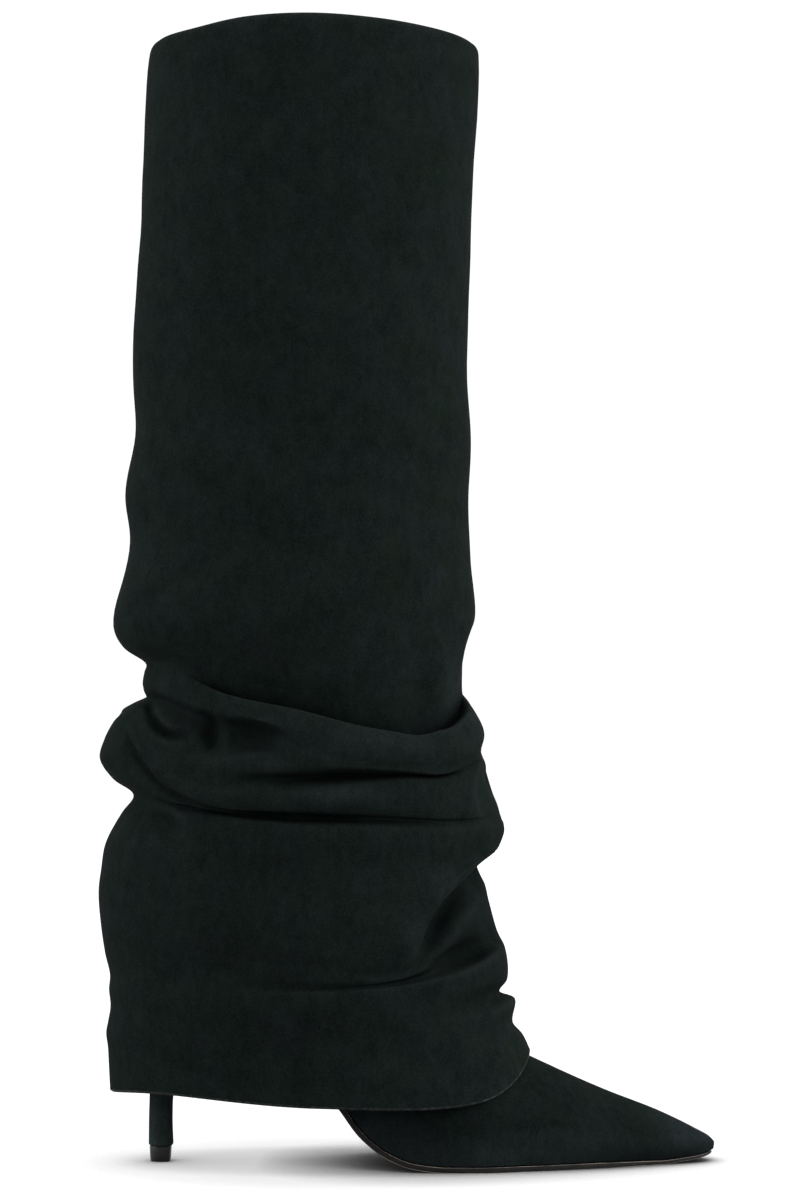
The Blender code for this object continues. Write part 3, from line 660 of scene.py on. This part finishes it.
def wave_relief(skin, angles):
    """Slow waves of hanging leather, dying away at the collar and at the hem."""
    z = skin[..., 2]
    waves = np.zeros_like(z)
    for height, turns, per_mm, phase in WAVES:
        waves += height * np.sin(2 * math.pi * z * per_mm + phase) * np.cos(turns * angles + 2 * phase)
    calm_top = np.clip((BOOT_HEIGHT - WAVE_TOP_GAP - z) / WAVE_CALM, 0, 1)
    calm_hem = np.clip((z - WAVE_HEM_Z) / WAVE_CALM, 0, 1)
    return waves * calm_top * calm_hem


def shaft_angles():
    return np.arange(SHAFT_COLUMNS) * 2 * math.pi / SHAFT_COLUMNS


def shaft_skin():
    """The outer shaft's skin as closed rings, from the turned-in edge over the roll to the hem."""
    angles = shaft_angles()
    lines = np.array([fold_ring(fold, angles) for fold in FOLDS])
    longest = np.linalg.norm(np.diff(lines, axis=0), axis=2).max(axis=1)
    steps = np.clip(np.ceil(longest / SHAFT_ROW), SHAFT_LEAST_ROWS, SHAFT_MOST_ROWS).astype(int)
    skin = finer(lines, steps)
    relief = wave_relief(skin, angles) - crease_relief(skin)
    relief[skin[..., 2] > BOOT_HEIGHT - ROLL_DEPTH] = 0
    return skin + ring_normals(skin) * relief[..., None]


def shaft_inside(skin):
    """The shaft's other side: close behind the skin at its ends, a plain tube behind the folds."""
    level = skin[..., 2].mean(axis=1)
    top = level.argmax()
    first = top + int(np.argmax(level[top:] < BOOT_HEIGHT - TURN_IN_DEPTH))
    collar = (skin - SHAFT_WALL * ring_normals(skin))[:first:COLLAR_STRIDE]
    angles, z = shaft_angles(), skin[first:, :, 2]
    flat = plan_points(z, 0.0, angles)
    out = ((skin[first:] - flat) * (plan_points(z, 1.0, angles) - flat)).sum(axis=2)
    heights = z[0] + (z[-1] - z[0]) * np.linspace(0, 1, SHAFT_INSIDE_ROWS)[:, None]
    window = np.clip(heights - z[-1], *INSIDE_REACH)
    near = np.abs(z[None] - heights[:, None]) <= window[:, None]
    lowest = np.where(near, out[None], np.inf).min(axis=1)
    return np.concatenate([collar, plan_points(heights, lowest - SHAFT_WALL, angles)])


# Meshes


def grid_faces(rows, columns, wrap_columns, wrap_rows):
    """Quads over a grid of rows by columns, joined round the ends where asked."""
    i = np.arange(rows if wrap_rows else rows - 1)[:, None]
    j = np.arange(columns if wrap_columns else columns - 1)[None]
    i2, j2 = (i + 1) % rows, (j + 1) % columns
    corners = [i * columns + j, i2 * columns + j, i2 * columns + j2, i * columns + j2]
    return np.stack([np.broadcast_to(c, (i.size, j.size)).ravel() for c in corners], axis=1)


def new_piece(name, points, faces, materials, node):
    """A piece of the boot in the CAD frame, which stands for a CAD node and rides with it."""
    mesh = bpy.data.meshes.new(name)
    placed = np.asarray(points).reshape(-1, 3) * MM + BOOT_PLACE
    mesh.from_pydata(placed.tolist(), [], [list(map(int, face)) for face in faces])
    for material in materials:
        mesh.materials.append(material)
    mesh.validate()
    mesh.shade_smooth()
    piece = bpy.data.objects.new(name, mesh)
    bpy.context.scene.collection.objects.link(piece)
    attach(piece, "root")
    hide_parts(node)
    return piece


def weld(piece):
    join = piece.modifiers.new("Weld", "WELD")
    join.merge_threshold = WELD_REACH * MM


def add_wall(piece, thickness, inside_material=0):
    wall = piece.modifiers.new("Wall", "SOLIDIFY")
    wall.thickness = thickness * MM
    wall.offset = -1
    wall.use_even_offset = True
    wall.use_quality_normals = True
    wall.material_offset = inside_material
    return wall


def round_edges(piece, radius, segments=3):
    edge = piece.modifiers.new("Edge", "BEVEL")
    edge.width = radius * MM
    edge.segments = segments
    edge.limit_method = "ANGLE"
    edge.angle_limit = math.radians(EDGE_ANGLE)
    edge.harden_normals = False
    return edge


def make_shaft(suede, raw_edge):
    """The outer shaft: a skin and its inside, joined at the turned-in end and by a cut edge at the hem."""
    skin = shaft_skin()
    inside = shaft_inside(skin)[::-1]
    hem_way = skin[-1] - skin[-2]
    hem_way /= np.linalg.norm(hem_way, axis=1, keepdims=True)
    hem_mid = (skin[-1] + inside[0]) / 2 + HEM_ROUND * hem_way
    cut_start = skin[-1] - CUT_EDGE * hem_way
    rows = np.concatenate([skin[:-1], cut_start[None], skin[-1:], hem_mid[None], inside])
    faces = grid_faces(len(rows), SHAFT_COLUMNS, True, True)
    shaft = new_piece("suede_shaft", rows, faces, [suede, raw_edge], "fold_over_shaft")
    edge_rows = range(len(skin) - 1, len(skin) + 2)
    indices = np.zeros(len(faces), np.int32)
    for row in edge_rows:
        indices[row * SHAFT_COLUMNS : (row + 1) * SHAFT_COLUMNS] = 1
    shaft.data.polygons.foreach_set("material_index", indices)


def make_upper(suede, lining):
    rows = [section(row, UPPER_COLUMNS) for row in upper_sections()]
    faces = [tuple(face[::-1]) for face in grid_faces(len(rows), UPPER_COLUMNS, False, False)]
    toe_cap = tuple(range(UPPER_COLUMNS))
    upper = new_piece("suede_upper", rows, faces + [toe_cap[::-1]], [suede, lining], "upper")
    weld(upper)
    add_wall(upper, UPPER_WALL, 1)


def sole_sheet(inset, toe_trim, lift_at):
    """Rows of points across the sole from the heel to the toe, lift_at(x) above its bottom."""
    turn = np.linspace(0, math.pi, SOLE_STATIONS)
    start, end = HEEL_BACK_X + inset, TOE_X - inset - toe_trim
    crowded = (1 - np.cos(turn)) / 2
    share = crowded + SOLE_EVEN_SHARE * (np.linspace(0, 1, SOLE_STATIONS) - crowded)
    rows = []
    for x in start + (end - start) * share:
        lateral, medial = half_widths(x, inset, toe_trim)
        px, pz = sole_point(x, lift_at(x))
        rows.append([(px, y, pz) for y in np.linspace(lateral, medial, SOLE_STRIPS + 1)])
    return rows


def make_outsole(leather, worn_and_highlit_edge):
    """The outsole, thinner towards the toe, with its corners rubbed bare and painted with a highlight."""
    rows = np.array(sole_sheet(SOLE_INSET, SOLE_TOE_TRIM, lambda x: 0.0))
    faces = grid_faces(len(rows), SOLE_STRIPS + 1, False, False)
    outsole = new_piece("leather_outsole", rows, faces, [leather, worn_and_highlit_edge], "outsole")
    thickness = outsole.vertex_groups.new(name="thickness")
    for index, x in enumerate(rows[..., 0].ravel()):
        thickness.add([index], float(skive(x)), "REPLACE")
    weld(outsole)
    wall = add_wall(outsole, SOLE_THICK)
    wall.offset = 1
    wall.vertex_group = thickness.name
    edge = round_edges(outsole, EDGE_RADIUS)
    edge.material = 1


def make_insole(lining):
    rows = sole_sheet(INSOLE_INSET, INSOLE_TOE_TRIM, sole_top)
    faces = grid_faces(len(rows), SOLE_STRIPS + 1, False, False)
    insole = new_piece("lined_insole", rows, faces, [lining], "insole")
    weld(insole)
    add_wall(insole, INSOLE_THICK).offset = 1
    round_edges(insole, EDGE_RADIUS)


def heel_ring(back_x, breast_x, half, height_at):
    """A section of the heel: round at the back, with a flat breast."""
    turn = np.arange(HEEL_RING) * 2 * math.pi / HEEL_RING
    square = np.where(np.cos(turn) < 0, BACK_SQUARE, BREAST_SQUARE)
    along = np.sign(np.cos(turn)) * np.abs(np.cos(turn)) ** (2 / square)
    across = np.sign(np.sin(turn)) * np.abs(np.sin(turn)) ** (2 / square)
    x = (back_x + breast_x) / 2 + (breast_x - back_x) / 2 * along
    return np.stack([x, half * across, height_at(x)], axis=1)


def capped_faces(rows):
    """Quads round a stack of closed rings, and a face on each end."""
    sides = [tuple(face) for face in grid_faces(rows, HEEL_RING, True, False)]
    first = tuple(range(HEEL_RING))
    last = tuple(range((rows - 1) * HEEL_RING, rows * HEEL_RING))
    return sides + [first, last[::-1]]


def make_heel(suede):
    rows = [heel_ring(SEAT_BACK_X, SEAT_BREAST_X, SEAT_HALF, lambda x: sole_point(x, -SEAM_GAP)[1])]
    for back_z, breast_z, back_x, breast_x, half in HEEL:
        slope = (breast_z - back_z) / (breast_x - back_x)
        rows.append(heel_ring(back_x, breast_x, half, lambda x: back_z + slope * (x - back_x)))
    rows = finer(np.array(rows), [HEEL_STEPS] * (len(rows) - 1))
    heel = new_piece("suede_heel", rows, capped_faces(len(rows)), [suede], "heel")
    round_edges(heel, EDGE_RADIUS)


def make_heel_tip(rubber):
    rows = [
        heel_ring(TIP_BACK_X + t, TIP_BREAST_X - t, TIP_HALF - t, lambda x: np.full(len(x), z))
        for z, t in TIP_RINGS
    ]
    tip = new_piece("heel_top_piece", rows, capped_faces(len(rows)), [rubber], "heel_tip")
    round_edges(tip, TIP_EDGE_RADIUS)


# Materials


def colour_sockets(sockets):
    return [socket for socket in sockets if socket.type == "RGBA"]


class Nodes:
    """A material's node tree, with short calls for the nodes used here."""

    def __init__(self, name):
        self.material = bpy.data.materials.new(name)
        self.material.use_nodes = True
        self.tree = self.material.node_tree
        self.shader = self.tree.nodes["Principled BSDF"]
        self.place = self.tree.nodes.new("ShaderNodeTexCoord").outputs["Object"]

    def set(self, **values):
        for name, value in values.items():
            self.shader.inputs[name.replace("_", " ")].default_value = value

    def link(self, output, name):
        self.tree.links.new(output, self.shader.inputs[name])

    def stretched(self, scale):
        mapping = self.tree.nodes.new("ShaderNodeMapping")
        mapping.inputs["Scale"].default_value = scale
        self.tree.links.new(self.place, mapping.inputs["Vector"])
        return mapping.outputs["Vector"]

    def noise(self, size_mm, detail=2.0, roughness=0.5, place=None):
        node = self.tree.nodes.new("ShaderNodeTexNoise")
        node.inputs["Scale"].default_value = 1 / (size_mm * MM)
        node.inputs["Detail"].default_value = detail
        node.inputs["Roughness"].default_value = roughness
        self.tree.links.new(place or self.place, node.inputs["Vector"])
        return node.outputs["Fac"]

    def mix(self, first, second, share):
        node = self.tree.nodes.new("ShaderNodeMix")
        node.data_type = "FLOAT"
        node.inputs["Factor"].default_value = share
        self.tree.links.new(first, node.inputs["A"])
        self.tree.links.new(second, node.inputs["B"])
        return node.outputs["Result"]

    def blend(self, first, second, share):
        node = self.tree.nodes.new("ShaderNodeMix")
        node.data_type = "RGBA"
        self.tree.links.new(share, node.inputs["Factor"])
        for colour, socket in zip((first, second), colour_sockets(node.inputs)):
            self.tree.links.new(colour, socket)
        return colour_sockets(node.outputs)[0]

    def ramp(self, value, stops):
        node = self.tree.nodes.new("ShaderNodeValToRGB")
        while len(node.color_ramp.elements) < len(stops):
            node.color_ramp.elements.new(0.5)
        for element, (place, colour) in zip(node.color_ramp.elements, stops):
            element.position = place
            element.color = (*colour, 1.0)
        self.tree.links.new(value, node.inputs["Fac"])
        return node.outputs["Color"]

    def grey_ramp(self, value, stops):
        """A ramp between greys, given as pairs of a place and a level."""
        return self.ramp(value, [(place, (level,) * 3) for place, level in stops])

    def openness(self, reach_mm, own=True):
        """How open a surface lies: less in a fold of its own or, unless own, near other pieces too."""
        node = self.tree.nodes.new("ShaderNodeAmbientOcclusion")
        node.samples = SHADE_SAMPLES
        node.only_local = own
        node.inputs["Distance"].default_value = reach_mm * MM
        return node.outputs["AO"]

    def sharpness(self):
        """How sharply the surface turns: a half on a flat, more on a ridge."""
        return self.tree.nodes.new("ShaderNodeNewGeometry").outputs["Pointiness"]

    def patch(self, middle, half):
        """One in the middle of an egg-shaped patch of the boot, fading to nought at its edge."""
        mapping = self.tree.nodes.new("ShaderNodeMapping")
        mapping.vector_type = "TEXTURE"
        mapping.inputs["Location"].default_value = np.array(middle) * MM + BOOT_PLACE
        mapping.inputs["Scale"].default_value = np.array(half) * MM
        self.tree.links.new(self.place, mapping.inputs["Vector"])
        away = self.tree.nodes.new("ShaderNodeVectorMath")
        away.operation = "LENGTH"
        self.tree.links.new(mapping.outputs["Vector"], away.inputs[0])
        return self.grey_ramp(away.outputs["Value"], ((PATCH_CORE, 1.0), (1.0, 0.0)))

    def bump(self, height, depth_mm, strength=1.0, under=None):
        node = self.tree.nodes.new("ShaderNodeBump")
        node.inputs["Strength"].default_value = strength
        node.inputs["Distance"].default_value = depth_mm * MM
        self.tree.links.new(height, node.inputs["Height"])
        if under is not None:
            self.tree.links.new(under, node.inputs["Normal"])
        return node.outputs["Normal"]


def tinted(colour, share):
    return tuple(share * channel for channel in colour)


def suede_material(name, lightness=1.0, patches=(), patch_gain=1.0):
    """Black suede: a fine nap, brushed unevenly, with painted shade in the folds, rubbed nap and a painted
    highlight on ridges, and painted light on patches.
    """
    suede = Nodes(name)
    blotches = suede.noise(12.0, detail=4.0, roughness=0.6)
    brushed = suede.noise(3.2, detail=3.0, roughness=0.6, place=suede.stretched((1.0, 1.0, 0.55)))
    fibres = suede.noise(0.7, detail=2.0, roughness=0.7)
    tone = suede.mix(suede.mix(blotches, brushed, 0.5), fibres, 0.5)
    low, high = 0.36, 0.64
    green = ((low, (0.0024, 0.0045, 0.0035)), (high, (0.0075, 0.0115, 0.0096)))
    grey = ((low, (0.0028, 0.0043, 0.0042)), (high, (0.0083, 0.0109, 0.0110)))
    # Painted shade: a darker copy of the suede for the folds
    deep = ((low, (0.0007, 0.0012, 0.0010)), (high, (0.0020, 0.0030, 0.0026)))
    # Rubbed nap and painted highlight: a paler copy of the suede for sharp ridges
    rubbed = ((low, (0.0046, 0.0064, 0.0060)), (high, (0.0125, 0.0155, 0.0150)))
    # Painted light: a paler copy of the suede for the patches
    raised = ((low, (0.0038, 0.0056, 0.0058)), (high, (0.0103, 0.0133, 0.0139)))
    raised = [(place, tinted(colour, patch_gain)) for place, colour in raised]
    green, grey, deep, rubbed, raised = (
        suede.ramp(tone, [(place, tinted(colour, lightness)) for place, colour in stops])
        for stops in (green, grey, deep, rubbed, raised)
    )
    shade = suede.grey_ramp(suede.noise(18.0, detail=3.0), ((0.4, 0.0), (0.6, 1.0)))
    # Painted shade: darker where the surface lies in a fold of its own
    open_share = suede.grey_ramp(suede.openness(FOLD_SHADE_REACH), ((0.30, 0.0), (0.88, 1.0)))
    ridge_rub_and_highlight = suede.grey_ramp(suede.sharpness(), ((0.512, 0.0), (0.575, 1.0)))
    face = suede.blend(green, grey, shade)
    # Painted light on each patch
    for _, middle, half in patches:
        face = suede.blend(face, raised, suede.patch(middle, half))
    # Rubbed nap and painted highlight laid on the sharp ridges
    face = suede.blend(face, rubbed, ridge_rub_and_highlight)
    suede.link(suede.blend(deep, face, open_share), "Base Color")
    nap = suede.bump(fibres, 0.12, strength=0.5)
    suede.link(suede.bump(brushed, 0.10, strength=0.4, under=nap), "Normal")
    suede.set(Roughness=0.95, Specular_IOR_Level=0.01, Sheen_Weight=0.006, Sheen_Roughness=0.4)
    suede.set(Sheen_Tint=(0.85, 0.95, 0.95, 1.0))
    return suede.material


def raw_edge_material():
    """The cut edge of the hem, a little paler than the nap."""
    edge = Nodes("cut suede edge")
    fibres = edge.noise(2.4, detail=4.0, roughness=0.7)
    stops = ((0.46, (0.004, 0.006, 0.006)), (0.74, (0.030, 0.034, 0.034)))
    edge.link(edge.ramp(fibres, stops), "Base Color")
    edge.link(edge.bump(fibres, 0.10, strength=0.5), "Normal")
    edge.set(Roughness=0.9, Specular_IOR_Level=0.15)
    return edge.material


def sole_material():
    """Black sole leather with a satin face and a scuffed tread."""
    sole = Nodes("black sole leather")
    scuffs = sole.noise(2.0, detail=5.0, roughness=0.7, place=sole.stretched((0.25, 1.0, 1.0)))
    grain = sole.noise(0.5, detail=2.0)
    stops = ((0.35, (0.0045, 0.0043, 0.0042)), (0.75, (0.014, 0.012, 0.010)))
    sole.link(sole.ramp(scuffs, stops), "Base Color")
    sole.link(sole.grey_ramp(scuffs, ((0.3, 0.40), (0.7, 0.62))), "Roughness")
    sole.link(sole.bump(grain, 0.04, strength=0.4), "Normal")
    sole.set(Specular_IOR_Level=0.12)
    return sole.material


def worn_and_highlit_edge_material():
    """Corners of the outsole where the black is rubbed off, here and there down to the brown leather, and
    painted paler as a highlight.
    """
    edge = Nodes("worn sole edge with painted highlight")
    rubbed = edge.noise(9.0, detail=4.0, roughness=0.6, place=edge.stretched((0.35, 1.0, 1.0)))
    # Wear and a painted highlight: pale stops on the rubbed corners
    stops = (
        (0.34, (0.010, 0.010, 0.010)),
        (0.47, (0.14, 0.135, 0.13)),
        (0.64, (0.46, 0.38, 0.31)),
    )
    edge.link(edge.ramp(rubbed, stops), "Base Color")
    edge.link(edge.grey_ramp(rubbed, ((0.4, 0.36), (0.7, 0.55))), "Roughness")
    edge.set(Specular_IOR_Level=0.4)
    return edge.material


def lining_material():
    """Plain black lining with a fine grain."""
    lining = Nodes("black lining")
    grain = lining.noise(0.8, detail=3.0)
    stops = ((0.3, (0.010, 0.010, 0.011)), (0.7, (0.020, 0.020, 0.021)))
    lining.link(lining.ramp(grain, stops), "Base Color")
    lining.link(lining.bump(grain, 0.08, strength=0.4), "Normal")
    lining.set(Roughness=0.75)
    return lining.material


def rubber_material():
    """Hard black rubber of the heel's top piece, rubbed unevenly dull."""
    rubber = Nodes("black heel rubber")
    wear = rubber.noise(1.6, detail=4.0, roughness=0.65)
    stops = ((0.3, (0.004, 0.0042, 0.0042)), (0.7, (0.009, 0.0094, 0.0094)))
    rubber.link(rubber.ramp(wear, stops), "Base Color")
    rubber.link(rubber.grey_ramp(wear, ((0.3, 0.36), (0.7, 0.55))), "Roughness")
    rubber.link(rubber.bump(wear, 0.03, strength=0.4), "Normal")
    rubber.set(Specular_IOR_Level=0.2)
    return rubber.material


def floor_material():
    """White paper with a little painted glow that lifts its shadows; where the boot is close it is darker
    and without the glow, a painted shadow.
    """
    floor = Nodes("white studio floor")
    dust = floor.noise(900.0, detail=1.0)
    clean = floor.grey_ramp(dust, ((0.0, 0.51), (1.0, 0.53)))
    # Painted shadow: dark grey where the boot is close
    shaded = floor.grey_ramp(dust, ((0.0, 0.10), (1.0, 0.11)))
    near_boot = floor.openness(FLOOR_SHADE_REACH, own=False)
    clear = floor.grey_ramp(near_boot, ((0.36, 0.0), (0.98, 1.0)))
    floor.link(floor.blend(shaded, clean, clear), "Base Color")
    # Painted light: the floor glows, less where the boot is close
    floor.link(clear, "Emission Color")
    floor.set(Roughness=0.9, Specular_IOR_Level=0.1, Emission_Strength=0.46)
    return floor.material


# Stage


def make_floor():
    mesh = bpy.data.meshes.new("floor")
    corners = [(x * FLOOR_REACH, y * FLOOR_REACH, 0) for x, y in ((-1, -1), (1, -1), (1, 1), (-1, 1))]
    mesh.from_pydata(corners, [], [(0, 1, 2, 3)])
    mesh.materials.append(floor_material())
    floor = bpy.data.objects.new("floor", mesh)
    bpy.context.scene.collection.objects.link(floor)
    floor.visible_diffuse = False
    return floor


def receivers(name, floor, state):
    """A set of pieces for a light: the floor alone, or all but the floor."""
    group = bpy.data.collections.new(name)
    group.objects.link(floor)
    group.collection_objects[0].light_linking.link_state = state
    return group


def make_lamp(name, place, size, watts, lit):
    """A soft rectangular lamp, turned to the boot."""
    light = bpy.data.lights.new(name, "AREA")
    light.shape = "RECTANGLE"
    light.size, light.size_y = size
    light.energy = watts
    lamp = bpy.data.objects.new(name, light)
    bpy.context.scene.collection.objects.link(lamp)
    lamp.location = place
    way = np.array(LAMP_AIM) - np.array(place)
    lamp.rotation_euler = (
        math.atan2(math.hypot(way[0], way[1]), -way[2]),
        0.0,
        math.atan2(way[0], -way[1]) + math.pi,
    )
    lamp.light_linking.receiver_collection = lit


def make_floor_light(floor):
    """An even light from above for the floor alone, which gives the boot its soft shadow."""
    light = bpy.data.lights.new("floor light", "SUN")
    light.energy = FLOOR_LIGHT_ENERGY
    light.angle = math.radians(FLOOR_LIGHT_SPREAD)
    lamp = bpy.data.objects.new("floor light", light)
    bpy.context.scene.collection.objects.link(lamp)
    lamp.location = FLOOR_LIGHT_PLACE
    lamp.rotation_euler = (math.radians(FLOOR_LIGHT_TILT), 0.0, 0.0)
    lamp.light_linking.receiver_collection = receivers("floor alone", floor, "INCLUDE")


def sky_tone(tree, value, low, high):
    """Greys of the sky along a value, between two pairs of a place and a level."""
    node = tree.nodes.new("ShaderNodeValToRGB")
    for element, (place, level) in zip(node.color_ramp.elements, (low, high)):
        element.position = place
        element.color = (level, level, level, 1.0)
    tree.links.new(value, node.inputs["Fac"])
    return node.outputs["Color"]


def make_world():
    """A white studio: bright all round and above, a little dimmer in front, dim below the floor."""
    world = bpy.data.worlds.new("white studio")
    world.use_nodes = True
    tree = world.node_tree
    split = tree.nodes.new("ShaderNodeSeparateXYZ")
    place = tree.nodes.new("ShaderNodeTexCoord").outputs["Generated"]
    tree.links.new(place, split.inputs["Vector"])
    raised = tree.nodes.new("ShaderNodeMath")
    raised.inputs[1].default_value = HORIZON_DROP
    tree.links.new(split.outputs["Z"], raised.inputs[0])
    upward = sky_tone(tree, raised.outputs["Value"], (0.0, SKY_BELOW), (HORIZON_BLUR, 1.0))
    backward = sky_tone(tree, split.outputs["Y"], (0.0, SKY_FRONT), (SKY_FRONT_END, 1.0))
    both = tree.nodes.new("ShaderNodeMix")
    both.data_type = "RGBA"
    both.blend_type = "MULTIPLY"
    both.inputs["Factor"].default_value = 1.0
    for tone, socket in zip((upward, backward), colour_sockets(both.inputs)):
        tree.links.new(tone, socket)
    sky = tree.nodes["Background"]
    tree.links.new(colour_sockets(both.outputs)[0], sky.inputs["Color"])
    sky.inputs["Strength"].default_value = SKY_STRENGTH
    bpy.context.scene.world = world


def make_lamps(floor):
    boot = receivers("all but the floor", floor, "EXCLUDE")
    for name, place, size, watts in LAMPS:
        make_lamp(name, place, size, watts, boot)


def make_camera():
    """The photograph's camera: low, level with the ankle, tilted a little up."""
    data = bpy.data.cameras.new("camera")
    data.sensor_fit = "AUTO"
    data.sensor_width = SENSOR_WIDTH
    data.lens = CAMERA_LENS
    data.clip_start, data.clip_end = CAMERA_RANGE
    camera = bpy.data.objects.new("camera", data)
    bpy.context.scene.collection.objects.link(camera)
    camera.location = np.array(CAMERA_PLACE) * MM + BOOT_PLACE
    camera.rotation_euler = (math.radians(CAMERA_TILT), 0.0, 0.0)
    bpy.context.scene.camera = camera


def clear_scene():
    for obj in list(bpy.data.objects):
        bpy.data.objects.remove(obj)


clear_scene()
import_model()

# The CAD part stands over the origin: the heel tip shows how far the boot's own frame was moved
tip_low, tip_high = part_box("heel_tip")
BOOT_PLACE = np.array((tip_low.x - TIP_BACK_X * MM, (tip_low.y + tip_high.y) / 2, 0.0))

black_suede = suede_material("black suede", patches=LIT_PATCHES)
# The foot's suede: painted shade all over, painted light on its patches
foot_suede = suede_material("black suede of the foot", FOOT_SHADED_LIGHTNESS, FOOT_LIT_PATCHES, FOOT_PATCH_GAIN)
black_lining = lining_material()
make_shaft(black_suede, raw_edge_material())
make_upper(foot_suede, black_lining)
# The heel's suede is painted paler: painted light for the light it lacks under the shaft
make_heel(suede_material("suede of the heel painted paler", HEEL_LIT_LIGHTNESS))
make_heel_tip(rubber_material())
make_outsole(sole_material(), worn_and_highlit_edge_material())
make_insole(black_lining)

floor = make_floor()
make_floor_light(floor)
make_world()
make_lamps(floor)
make_camera()
bpy.context.scene.view_settings.view_transform = "Standard"
